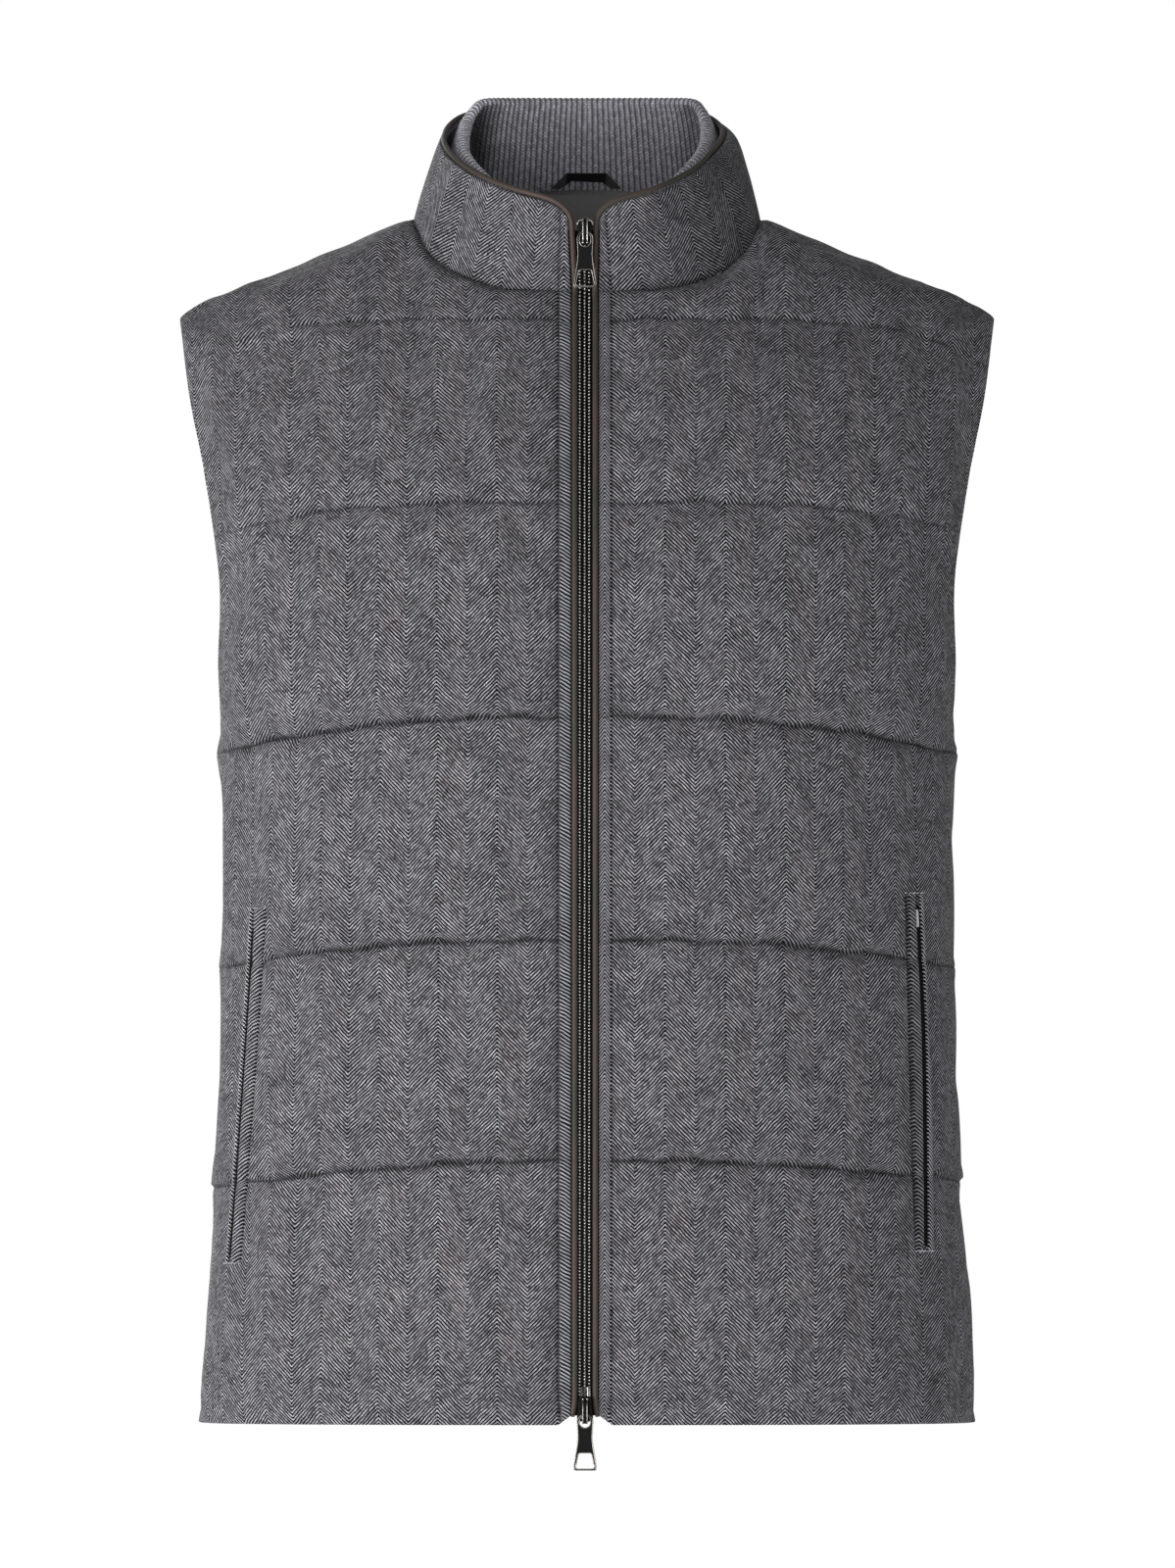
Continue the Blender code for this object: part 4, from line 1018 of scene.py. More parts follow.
collar_grid = np.array([collar_row(rise) for rise in COLLAR_RISES])
collar_facing = outward(collar_grid)
collar_facing[:, (0, -1), 0] = 0
collar_facing = unit(collar_facing)
run = run_of(collar_grid[0])
from_edge = np.minimum(run, run[-1] - run)
fullness = np.sin(math.pi * np.array(COLLAR_RISES)) ** 0.6
puff = COLLAR_PUFF * fullness[:, None] * (1 - np.exp(-np.maximum(from_edge - BAND, 0) / 0.01))[None, :]
puff = puff - BAND_DIP * band_groove(from_edge)[None, :]
puff[0] -= NECK_DIP
middle = len(COLLAR_RISES) // 2
chart_across = np.broadcast_to(run_of(collar_grid[middle]), collar_grid.shape[:2])
chart_up = np.array([run_of(collar_grid[:, k]) for k in range(collar_grid.shape[1])]).T
# Painted shade under the neck seam, in the band's groove and along the front edge, and on the right front
# where the collar turns away from the light.
collar_painted_shade = 0.50 * np.exp(-chart_up / 0.0016) + 0.15 * np.exp(-chart_up / 0.006)
collar_painted_shade = collar_painted_shade + 0.60 * band_groove(from_edge) + 0.40 * np.exp(-from_edge / 0.0007)
turned_away = np.clip((collar_grid[..., 0] - 0.020) / 0.05, 0, 1) * (collar_grid[..., 1] < 0)
collar_painted_shade = np.minimum(collar_painted_shade + AWAY_PAINTED_SHADE * turned_away, MOST_PAINTED_SHADE)
collar_inside = collar_grid - collar_facing * COLLAR_WALL
collar = wall("collar_band", collar_grid + collar_facing * puff[..., None], collar_inside,
              np.stack((chart_across - COLLAR_CUT_START, chart_up), axis=-1), (wool, lining), collar_painted_shade)
subdivide(collar)
sewn_on(collar, "herringbone", "collar")

# %% [markdown]
# Inside the collar stands a knit band. It is one strip of rib, folded double along its top, so
# its fold is round and its ribs run up the outside, over the fold and down the inside. Ribs
# are deep enough to show at the edge, so they are real waves in the mesh. The strip's section
# is swept along the neck, with six points for each rib, and then given its thickness.

# %% Knit band
KNIT_TOP = np.array((        # middle of the top fold: left, right, depth and height
    (0.0175, 0.0155, -0.0660, 0.0010), (0.0350, 0.0330, -0.0600, 0.0080),
    (0.0490, 0.0440, -0.0490, 0.0165), (0.0600, 0.0540, -0.0360, 0.0265),
    (0.0682, 0.0630, -0.0200, 0.0370), (0.0696, 0.0668, -0.0030, 0.0460),
    (0.0682, 0.0674, 0.0130, 0.0550), (0.0640, 0.0645, 0.0220, 0.0625),
    (0.0585, 0.0595, 0.0285, 0.0662), (0.0400, 0.0400, 0.0375, 0.0667),
    (0.0000, 0.0000, 0.0420, 0.0668)))
KNIT_HALF_WALL, FOLD_RADIUS, KNIT_RAISE = 0.0025, 0.0040, 0.0020
KNIT_CLEAR = COLLAR_WALL + KNIT_HALF_WALL + 0.0024
KNIT_LIFT, KNIT_START, NECK_DEPTH = 0.0012, 0.0125, 0.065
KNIT_THICK = 0.0017
RIB_HEIGHT, RIB_POINTS, WALL_ROWS, FOLD_ROWS = 0.0011, 6, 12, 8


def knit_lines():
    """The foot and the top of the band's middle, and each point's place among the ribs."""
    feet, tops = [], []
    for side in (-1, 1):
        seam, top = half_loop(side), top_loop(KNIT_TOP, side)
        ribs = round(run_of(top)[-1] / RIB_PITCH)
        share = np.linspace(0, 1, ribs * RIB_POINTS + 1)
        first = KNIT_START / run_of(seam)[-1]
        low = at_shares(seam, first + (1 - first) * share)
        inward = unit(np.column_stack((-low[:, 0] / NECK_HALF, -low[:, 1] / NECK_DEPTH, np.zeros(len(low)))))
        feet.append(low + inward * KNIT_CLEAR + np.array((0, 0, KNIT_LIFT)))
        tops.append(at_shares(top, share) + (0, 0, KNIT_RAISE))
    return whole(*feet), whole(*tops)


def knit_section(foot, top):
    """Rows of the folded strip, up the outside, over the fold and down the inside."""
    up = unit(top - foot)
    centre = top - up * FOLD_RADIUS
    facing = outward(np.array([foot, (foot + centre) / 2, centre]))[1]
    facing = unit(facing - up * np.sum(facing * up, axis=1, keepdims=True))
    rows, away = [], []
    wider = FOLD_RADIUS - KNIT_HALF_WALL
    centre = centre - facing * wider
    for side, shares in ((1, np.linspace(0, 1, WALL_ROWS)), (-1, np.linspace(1, 0, WALL_ROWS))):
        for t in shares:
            half = KNIT_HALF_WALL + wider * t ** 7
            middle = foot + (centre - foot) * t + facing * wider * (t - t ** 7)
            rows.append(middle + side * facing * half)
            away.append(side * facing)
        if side == 1:
            for angle in np.linspace(0, math.pi, FOLD_ROWS + 1)[1:-1]:
                out = facing * math.cos(angle) + up * math.sin(angle)
                rows.append(centre + out * FOLD_RADIUS)
                away.append(out)
    return np.array(rows), np.array(away)


knit_foot, knit_top = knit_lines()
knit_rows, knit_away = knit_section(knit_foot, knit_top)
rib_turn = np.arange(knit_rows.shape[1]) / RIB_POINTS
rib_wave = (0.5 + 0.5 * np.cos(2 * math.pi * rib_turn)) ** 0.6 - 0.75
rib_height = np.full(len(knit_rows), RIB_HEIGHT)
rib_height[WALL_ROWS:-WALL_ROWS] *= 0.40
knit_grid = knit_rows + knit_away * (rib_height[:, None] * rib_wave[None, :])[..., None]
knit_across = np.broadcast_to(rib_turn * RIB_PITCH, knit_grid.shape[:2])
centre_back = knit_grid.shape[1] // 2
knit_up = np.broadcast_to(run_of(knit_rows[:, centre_back])[:, None], knit_grid.shape[:2])
# Painted light for the knit: painted shade inside the band beside both folds and towards the right, and a
# painted highlight, below zero, along the left fold.
at_left, at_right = (np.clip((sign * knit_top[:, 0] - 0.048) / 0.010, 0, 1) for sign in (-1, 1))
inside = np.arange(len(knit_rows))[:, None] >= len(knit_rows) - WALL_ROWS
on_fold = np.sin(math.pi * np.clip((np.arange(len(knit_rows)) - WALL_ROWS + 3) / (FOLD_ROWS + 3), 0, 1))
rightwards = np.clip(knit_top[:, 0] / 0.045, 0, 1)
knit_painted_light = np.where(inside, 0.76 * at_left + 0.36 * at_right + 0.26 * rightwards, 0)
knit_painted_light = knit_painted_light - 0.80 * on_fold[:, None] * at_left
band = wall("knit_band", knit_grid, knit_rows - knit_away * KNIT_THICK,
            np.stack((knit_across, knit_up), axis=-1), (knit,), knit_painted_light)
band.data.shade_smooth()
sewn_on(band, "knit", "collar_knit")

# %% [markdown]
# The front edges and the collar's top are finished with one covered cord. It runs up the left
# edge, round the collar and down the right edge. A cord is easiest as a curve with a round
# bevel, and the curve is then made a mesh. Its path is smoothed, so that it turns the collar's
# corners as a real cord does.

# %% Cord
TOP_Z, NECK_Z, HEM_Z = COLLAR_TOP[0, 3], -NECK_FRONT_DROP, QUILT[0, 0]
SLOPE_STEP = 0.004
CORD_RADIUS, CORD_INSIDE, CORD_GAP = 0.0016, 0.0012, 0.0003
CORD_ACROSS = EDGE_OFFSET - CORD_GAP - CORD_RADIUS
CORD_SEAT = CORD_RADIUS + 0.0005
CORD_STEP, CORD_ROUNDS = 0.0015, 6


def front_depth(z):
    """How far the front edge lies before the side seams, at a height."""
    seam = depth(EDGE_OFFSET, NECK_Z, True)
    t = np.clip((z - NECK_Z) / (TOP_Z - NECK_Z), 0, 1)
    return np.where(z > NECK_Z, seam + (-COLLAR_TOP[0, 2] - seam) * t, depth(EDGE_OFFSET, z, True))


def on_zip(z, across, inside):
    """Points beside the zip's middle, `inside` the front edge's skin."""
    z, across, inside = np.broadcast_arrays(np.asarray(z, float), across, inside)
    low, high = front_depth(z - SLOPE_STEP), front_depth(z + SLOPE_STEP)
    normal = unit(np.stack((np.zeros_like(z), np.full_like(z, -2 * SLOPE_STEP), low - high), axis=-1))
    return np.stack((ZIP_X + across, -front_depth(z), z), axis=-1) - normal * inside[..., None]


def cord_half(side):
    """The cord's middle up one front edge and round the collar to the centre back."""
    heights = np.linspace(HEM_Z + CHAMFER - 0.0006, NECK_Z - 0.004, 200)
    turned = np.clip(HEM_Z + CHAMFER + 0.006 - heights, 0, None)
    edge = on_zip(heights, side * (CORD_ACROSS + turned * 0.24), CORD_INSIDE + turned * 0.15)
    count = collar_grid.shape[1]
    columns = np.arange(count // 2 + 1) if side < 0 else count - 1 - np.arange(count // 2 + 1)
    middles = (collar_grid[:, columns] + collar_inside[:, columns]) / 2
    rise = middles[:-1, 0] + np.array((-side * CORD_SEAT, 0, 0))
    top = middles[-1]
    tangent = np.gradient(top, axis=0)
    tangent[0] = unit(tangent[0]) + (0, 0, 1)
    away = unit(np.cross(collar_facing[-1, columns], tangent))
    away[away[:, 2] < 0] *= -1
    if away[0, 0] * side > 0:
        away[0] *= -1
    return np.vstack((edge, rise, top + away * CORD_SEAT))


def from_curve(name, loops, look, closed, **settings):
    """A mesh made of a curve through each loop's points; the settings are the curve's own."""
    curve = bpy.data.curves.new(name, "CURVE")
    for key, value in settings.items():
        setattr(curve, key, value)
    for points in loops:
        spline = curve.splines.new("POLY")
        spline.points.add(len(points) - 1)
        spline.points.foreach_set("co", np.column_stack((points, np.ones(len(points)))).ravel())
        spline.use_cyclic_u = closed
    piece = bpy.data.objects.new(name, curve)
    scene.collection.objects.link(piece)
    only(piece)
    bpy.ops.object.convert(target="MESH")
    piece = bpy.context.object
    consistent(piece, merge=True)
    dress(piece, look)
    return piece


def tube(name, path, radius, look, resolution=3, closed=False):
    """A round cord along a path."""
    piece = from_curve(name, [path], look, closed, dimensions="3D", bevel_depth=radius,
                       bevel_resolution=resolution, use_fill_caps=not closed)
    piece.data.shade_smooth()
    return piece


cord_left, cord_right = cord_half(-1), cord_half(1)
cord_path = np.vstack((cord_left[:-1], cord_right[::-1]))
cord_length = run_of(cord_path)[-1]
cord_path = at_shares(cord_path, np.linspace(0, 1, round(cord_length / CORD_STEP) + 1))
for _ in range(CORD_ROUNDS):
    cord_path[1:-1] = (cord_path[:-2] + 2 * cord_path[1:-1] + cord_path[2:]) / 4
edge_cord = tube("edge_cord", cord_path, CORD_RADIUS, cord)
sewn_on(edge_cord, "piping", "piping")
print(f"cord: {cord_length:.2f} m, {len(edge_cord.data.polygons)} faces")

# %% [markdown]
# The zip is two black tapes with metal teeth. A real tooth is a small bar with a bead at its
# outer end and a nose that locks between the other side's noses. One left and one right tooth
# are modelled and repeated by an Array modifier, on a straight chain. The chain is then laid
# along the front edge's curve by moving its points. A tooth has few faces, since there are many.

# %% Zip teeth
TOOTH_PITCH = 0.00182
CHAIN_BOTTOM, CHAIN_TOP = -0.6690, -0.0060
CHAIN_FACE = 0.0024          # front of the teeth, inside the edge's skin
BEADS = (                    # across, up as a share of the pitch, half sizes, tilt in degrees
    (-0.00305, 0.0, (0.00094, 0.00066, 0.00064), 24),
    (-0.00020, -0.27, (0.00074, 0.00056, 0.00053), -28),
    (0.00240, 0.45, (0.00080, 0.00060, 0.00055), -24),
)
BARS = ((-0.0016, 0.0, 0.0030), (0.0014, 0.45, 0.0026))      # across, up, width
BAR_SIZE, BAR_DEPTH = (0.0013, 0.00095), 0.0015


def placed(size, center, look, tilt=0.0):
    """Give the primitive just added its size, tilt, place and finish."""
    piece = bpy.context.object
    piece.scale, piece.location = size, center
    piece.rotation_euler.y = math.radians(tilt)
    bpy.ops.object.transform_apply(location=True, rotation=True, scale=True)
    dress(piece, look)
    return piece


def ball(size, center, look, around=20, rings=12, tilt=0.0):
    """A small round bead."""
    deselect()
    bpy.ops.mesh.primitive_uv_sphere_add(segments=around, ring_count=rings, radius=1.0)
    piece = placed(size, center, look, tilt)
    piece.data.shade_smooth()
    return piece


def block(size, center, look, edge=0.00015):
    """A small block, with bevelled edges where `edge` is given."""
    deselect()
    bpy.ops.mesh.primitive_cube_add(size=1.0)
    piece = placed(size, center, look)
    if edge:
        apply_modifier(piece, "BEVEL", width=edge, segments=2)
    return piece


def join(name, pieces):
    """Join pieces into one named piece at the origin."""
    deselect()
    for piece in pieces:
        piece.select_set(True)
    bpy.context.view_layer.objects.active = pieces[0]
    if len(pieces) > 1:
        bpy.ops.object.join()
    joined = bpy.context.object
    bpy.ops.object.transform_apply(location=True, rotation=True, scale=True)
    joined.name = joined.data.name = name
    return joined


# Beads in bright nickel and bars in near-black plate are a painted highlight and a painted shade on teeth of
# one dark metal.
pair = [ball(size, (across, size[1], up * TOOTH_PITCH), chrome, 6, 4, tilt)
        for across, up, size, tilt in BEADS]
pair += [block((width, *BAR_SIZE), (across, BAR_DEPTH, up * TOOTH_PITCH), enamel, edge=0)
         for across, up, width in BARS]
chain = join("zip_teeth", pair)
tooth_count = int((CHAIN_TOP - CHAIN_BOTTOM) / TOOTH_PITCH)
apply_modifier(chain, "ARRAY", count=tooth_count, use_relative_offset=False,
               use_constant_offset=True, constant_offset_displace=(0, 0, TOOTH_PITCH))
straight = places(chain)
put(chain, on_zip(straight[:, 2] + CHAIN_BOTTOM + TOOTH_PITCH, straight[:, 0], CHAIN_FACE + straight[:, 1]))
sewn_on(chain, "zip_metal", "zip_chain")
print("teeth:", 2 * tooth_count, "in", len(chain.data.polygons), "faces")

# %% [markdown]
# Each tape is a woven ribbon, sewn behind the front edge. It is a thin sheet that follows the
# edge, with its far side lying deeper, behind the curved panel. The two tapes almost meet
# behind the teeth, which hides the narrow way between them.

# %% Zip tapes
TAPE_INNER, TAPE_OUTER, TAPE_BOW = 0.0004, 0.0130, 0.0018
TAPE_DEPTH = (0.0041, 0.0048)                # its face and its back, inside the edge's skin
TAPE_BOTTOM, TAPE_TOP = HEM_Z + 0.0054, TOP_Z - 0.006
TAPE_COLUMNS, TAPE_ROWS = 8, 160

for side, ending in ((-1, "left"), (1, "right")):
    across = side * np.linspace(TAPE_INNER, TAPE_OUTER, TAPE_COLUMNS)[None, :]
    heights = np.linspace(TAPE_BOTTOM, TAPE_TOP, TAPE_ROWS)[:, None]
    bow = TAPE_BOW * (across / TAPE_OUTER) ** 2
    face, rear = (on_zip(heights, across, inside + bow) for inside in TAPE_DEPTH)
    chart = np.stack(np.broadcast_arrays(across, heights), axis=-1)
    ribbon = wall("tape_" + ending, face, rear, chart, (tape,))
    sewn_on(ribbon, "tape", "zip_tape_" + ending)

# %% [markdown]
# Two slim pins end the chain above the lower slider. A slider is a die-cast body of two plates
# with a post between them, and a bridge on its front that carries the pull. The plates are cut
# to a shield outline as filled curves with a small round edge. The bridge is a bent strap with
# rails of brighter nickel along its edges: a painted highlight on the black metal.

# %% Sliders
SHIELD = ((-0.0070, 0.0026), (-0.0064, 0.0035), (-0.0030, 0.0037), (0.0010, 0.0040), (0.0040, 0.0045),
          (0.0058, 0.0044), (0.0067, 0.0034), (0.0070, 0.0018))   # height and half width, wide end up
PLATE, FRONT_PLATE, BACK_PLATE = 0.0012, -0.0016, 0.0064
BAIL_HALF, BAIL_HEIGHT, BAIL_WIDTH, BAIL_WIRE, RAIL = 0.0065, 0.0042, 0.0030, 0.0009, 0.00030
RAIL_ACROSS, RAIL_OUT, CROWN_RADIUS = 0.0012, 0.0001, 0.00028
POST = (0.0028, 0.0024, 0.0055)              # width, height, how far up it stands
FLANGE, FLANGE_ACROSS = (0.0007, 0.0026, 0.0105), 0.0036
KNOBS = (                    # size, place before the front plate
    ((0.0015, 0.0010, 0.0011), (-0.0004, -0.0026, 0.0052)),
    ((0.0006, 0.0006, 0.0006), (-0.0012, -0.0018, -0.0056)),
    ((0.0006, 0.0006, 0.0006), (0.0012, -0.0018, -0.0056)),
)
SLIDERS = (                  # name, height, wide end up or down, shift of the bridge, its rails
    ("slider_top", -0.0085, 1, 0.0012, chrome),
    ("slider_bottom", -0.6680, -1, -0.0015, lighter_nickel),
)
PIN_LOW, PIN_HIGH, PIN_ACROSS, PIN_INSIDE, PIN_SIZE = -0.6610, -0.6554, 0.00175, 0.0018, (0.0021, 0.0012)


def flat_part(name, outline, holes, thick, look, edge=0.00018):
    """A plate cut to an outline in the upright plane, with its holes and a round edge."""
    loops = [np.column_stack((points, np.zeros(len(points)))) for points in (outline, *holes)]
    plate = from_curve(name, loops, look, True, dimensions="2D", fill_mode="BOTH", bevel_depth=edge,
                       extrude=thick / 2 - edge, bevel_resolution=1, offset=-edge)
    across, up, away = places(plate).T
    put(plate, np.column_stack((across, -away, up)))
    return plate


def shift(piece, offset):
    put(piece, places(piece) + np.asarray(offset, float))


def bail_parts(name, bail_shift, bright):
    """The bridge over the front plate: a bent strap with a rail along each edge."""
    run, out, foot = BAIL_HALF, BAIL_HEIGHT, FRONT_PLATE - PLATE / 2
    line = ((-run, 0.1), (-run, 0.55), (-run * 0.85, 0.88), (-run * 0.45, 1.0), (run * 0.45, 1.0),
            (run * 0.85, 0.88), (run, 0.55), (run, 0.1))
    path = smooth_path(np.array([(0, foot - share * out, z + bail_shift) for z, share in line]), 5)
    along = unit(np.gradient(path, axis=0))
    inward = np.column_stack((np.zeros(len(path)), along[:, 2], -along[:, 1]))
    across = np.linspace(-1, 1, 5) * BAIL_WIDTH / 2
    outer = path[:, None] + across[None, :, None] * (1, 0, 0)
    chart = np.stack(np.broadcast_arrays(across[None, :], run_of(path)[:, None]), axis=-1)
    strap = wall(name + "_strap", outer, outer + inward[:, None] * BAIL_WIRE, chart, (enamel,))
    return [strap] + [tube(name + "_rail", path + (side * RAIL_ACROSS, -RAIL_OUT, 0), RAIL, bright, 2)
                      for side in (-1, 1)]


for name, height, wide_end, bail_shift, bright in SLIDERS:
    edge = [(half, wide_end * z) for z, half in SHIELD]
    outline = edge + [(-x, z) for x, z in edge[::-1]]
    face = FRONT_PLATE - PLATE / 2
    # The bright nickel crown along the front plate's top is a painted highlight.
    crown = np.array([(x * 0.97, face, z * 0.985) for x, z in outline[4:-4]])
    middle = (BACK_PLATE + FRONT_PLATE) / 2
    pieces = [
        flat_part(name, outline, (), PLATE, enamel),
        flat_part(name, outline, (), PLATE, nickel),
        block((POST[0], BACK_PLATE - FRONT_PLATE, POST[1]), (0, middle, wide_end * POST[2]), nickel),
        tube(name, crown, CROWN_RADIUS, chrome, 2),
        *[ball(size, (x, FRONT_PLATE + y, wide_end * z), chrome) for size, (x, y, z) in KNOBS],
        *bail_parts(name, bail_shift, bright),
        *[block(FLANGE, (side * FLANGE_ACROSS, FRONT_PLATE + 0.0012, wide_end * 0.0004), enamel)
          for side in (-1, 1)],
    ]
    shift(pieces[0], (0, FRONT_PLATE, 0))
    shift(pieces[1], (0, BACK_PLATE, 0))
    slider = join(name + "_cast", pieces)
    shift(slider, (ZIP_X, -float(front_depth(np.array(height))), height))
    sewn_on(slider, "zip_metal", name)
    print(name, len(slider.data.polygons), "faces")

for side, ending, metal in ((-1, "left", nickel), (1, "right", lighter_nickel)):
    middle = on_zip(np.array((PIN_LOW + PIN_HIGH) / 2), side * PIN_ACROSS + 0.0004, PIN_INSIDE)
    pin = join("pin_" + ending, [block((*PIN_SIZE, PIN_HIGH - PIN_LOW), middle, metal, 0.0003)])
    sewn_on(pin, "zip_metal", "zip_pin_" + ending)

# %% [markdown]
# A pull is a flat tab that hangs from its bridge by a round eye, with a small window near its
# foot. The face is dark and plain and its rims catch the light, so the tab is a dark plate cut to
# its outline, and each edge gets a thin wire of lighter nickel as a painted highlight. Each tab
# turns about its own hinge.

# %% Pulls
PULL_LENGTH, PULL_THICK, EYE_RADIUS, WAIST, FOOT = 0.0317, 0.0012, 0.0047, 0.0042, 0.0064
HINGE_DROP = 0.0006          # from the eye's top edge to the hinge axis
HINGE_OUT = -FRONT_PLATE + PLATE / 2 + 0.0004 + PULL_THICK / 2
RIM, RIM_INSET = 0.00034, 0.0003
PULLS = (                    # name, body, hinge height, slider height, foot of the eye
    ("pull_top", "upper_pull", -0.0082, -0.0085, 0.0086),
    ("pull_bottom", "lower_pull", -0.6712, -0.6680, 0.0076),
)


def arc(center, radius, start, end, steps):
    turns = np.radians(np.linspace(start, end, steps + 1))
    return [(center[0] + radius * math.cos(a), center[1] + radius * math.sin(a)) for a in turns]


def mirrored(half):
    """A closed outline from its right half, listed from the top down."""
    left = [(-x, z) for x, z in half[::-1]]
    return half + [point for point in left if abs(point[0]) > 1e-6]


def inset(points, by):
    """An outline moved inwards by a distance."""
    points = np.asarray(points)
    ahead, behind = np.roll(points, -1, axis=0), np.roll(points, 1, axis=0)
    turn = np.sum(points[:, 0] * ahead[:, 1] - ahead[:, 0] * points[:, 1])
    along = unit(ahead - behind)
    return points + np.column_stack((-along[:, 1], along[:, 0])) * by * np.sign(turn)


def pull_outlines(eye_foot):
    """The tab's outline, its eye and its window."""
    top = HINGE_DROP
    center, bottom = top - EYE_RADIUS, top - PULL_LENGTH
    half = arc((0, center), EYE_RADIUS, 90, -15, 12)
    half += [(WAIST, center - 0.0085), (WAIST + 0.0004, center - 0.0130), (FOOT, bottom + 0.0030)]
    half += arc((FOOT - 0.0012, bottom + 0.0012), 0.0012, 0, -90, 4)
    eye_top, eye_bottom, eye_half = top - 0.0012, top - eye_foot, 0.0029
    eye = arc((0, eye_top - eye_half), eye_half, 90, 0, 7)
    eye += arc((0, eye_bottom + eye_half), eye_half, 0, -90, 7)
    window = [(0.0, bottom + 0.0097), *arc((0.0026, bottom + 0.0087), 0.0010, 90, 12, 4),
              *arc((0.0040, bottom + 0.0021), 0.0010, 0, -90, 4), (0.0, bottom + 0.0011)]
    return mirrored(half), mirrored(eye), mirrored(window)


for name, body, hinge_z, slider_z, eye_foot in PULLS:
    outline, eye, window = pull_outlines(eye_foot)
    pieces = [flat_part(name + "_plate", outline, (eye, window), 0.0005, enamel)]
    for loop, by in ((outline, RIM_INSET), (eye, -RIM_INSET), (window, -RIM_INSET)):
        rim = inset(loop, by)
        path = np.column_stack((rim[:, 0], np.zeros(len(rim)), rim[:, 1]))
        pieces.append(tube(name + "_rim", path, RIM, lighter_nickel, 2, closed=True))
    tab = join(name + "_tab", pieces)
    shift(tab, (ZIP_X, -float(front_depth(np.array(slider_z))) - HINGE_OUT, hinge_z))
    sewn_on(tab, "zip_metal", name, body=body)
    print(name, len(tab.data.polygons), "faces")

# %% [markdown]
# Each slanted pocket is a slit with a wide welt on the zip's side and a narrow lip on the other.
# Both are strips of the same wool folded over, so the edge at the slit is the full one, and each
# has its own run of the weave. They are laid on the finished panel by rays cast from the front.
# A dark strip in the slit is painted shadow for the way into the pocket, and a pale one stands
# for the scrap of pocket cloth that shows at the right slit's top.

# %% Pockets
POCKETS = {                  # height, distances from the middle: inner edge, slit, outer edge
    -1: np.array(((-0.5870, 0.1941, 0.2000, 0.2028), (-0.5150, 0.1883, 0.1944, 0.1972),
                  (-0.4500, 0.1837, 0.1899, 0.1928), (-0.3875, 0.1797, 0.1860, 0.1890))),
    1: np.array(((-0.5800, 0.1838, 0.1892, 0.1945), (-0.5150, 0.1815, 0.1887, 0.1938),
                 (-0.4520, 0.1800, 0.1876, 0.1912), (-0.3790, 0.1780, 0.1840, 0.1885))),
}
SLIT = {-1: (0.0009, 0.0008), 1: (0.0011, 0.0016)}      # half the slit on its two sides
WELT_PROFILE = ((0.0, 0.0004), (0.10, 0.0014), (0.3, 0.0021), (0.6, 0.0025), (0.88, 0.0024),
                (1.0, 0.0014))
LIP_PROFILE = ((0.0, 0.0010), (0.14, 0.0018), (0.45, 0.0019), (0.8, 0.0014), (1.0, 0.0004))
SLIT_CLOSED = {-1: 0.0120, 1: 0.0065}         # the slit is sewn up at its top
SLIT_PROFILE, SLIT_OVER = ((0.0, 0.0007), (0.5, 0.0007), (1.0, 0.0007)), 0.0003
TAB_PROFILE, TAB_EDGES = ((0.0, 0.0014), (0.5, 0.0020), (1.0, 0.0014)), ((2, -0.0012), (2, 0.0006))
TAB_SPAN, STRIP_SUNK = (-0.3982, -0.3880), 0.0004
# Painted shade across each strip, darkest at its edges, and a painted highlight, below zero, in the lip's
# middle.
WELT_PAINTED_SHADING = {-1: (0.45, 0.18, 0.0, 0.0, 0.0, 0.35), 1: (0.90, 0.75, 0.25, 0.0, 0.0, 0.35)}
LIP_PAINTED_SHADING = {-1: (0.15, -0.30, -0.30, -0.10, 0.45), 1: (0.25, -0.50, -0.45, 0.0, 0.70)}
WELT_BOLD, LIP_BOLD = 0.40, 0.90
WELT_WEAVE = {-1: (0.0, 0.0280), 1: (0.0, -0.0012)}      # lean of the weave, where it is cut
LIP_WEAVE = {-1: (0.7, 0.0100), 1: (0.7, 0.0050)}


def tree_of(piece):
    return BVHTree.FromObject(piece, bpy.context.evaluated_depsgraph_get())


def on_panel(tree, x, z):
    """The panel's face seen from the front at (x, z), and its outward direction."""
    hit, normal, _, _ = tree.ray_cast(Vector((x, -0.5, z)), Vector((0, 1, 0)))
    return np.array(hit), np.array(normal if normal.y < 0 else -normal)


def pocket_strip(name, side, edges, profile, look, painted_shading=(0.0, 0.0, 0.0), bold=0.0, weave=(0.0, 0.0),
                 span=None, sections=72):
    """A strip on a panel between two edges, its height above the panel given by the profile."""
    table = POCKETS[side]
    low_z, high_z = span or (table[0, 0], table[-1, 0])
    lean, cut_start = weave
    strips = [], [], []
    for z in np.linspace(low_z, high_z, sections + 1):
        low, high = (float(follow(table, column, z)) + offset for column, offset in edges)
        rows = [], [], []
        for share, height in profile:
            hit, normal = on_panel(panel_trees[side], side * (low * (1 - share) + high * share), z)
            across = side * (high - low) * share
            rows[0].append(hit + normal * height)
            rows[1].append(hit - normal * STRIP_SUNK)
            rows[2].append((cut_start + across, z + lean * across))
        for strip, row in zip(strips, rows):
            strip.append(row)
    grid, under, chart = (np.array(strip) for strip in strips)
    # The painted shading goes into the strip's second chart.
    piece = wall(name, grid, under, chart, (look,), np.broadcast_to(painted_shading, grid.shape[:2]), bold)
    subdivide(piece)
    return piece, grid


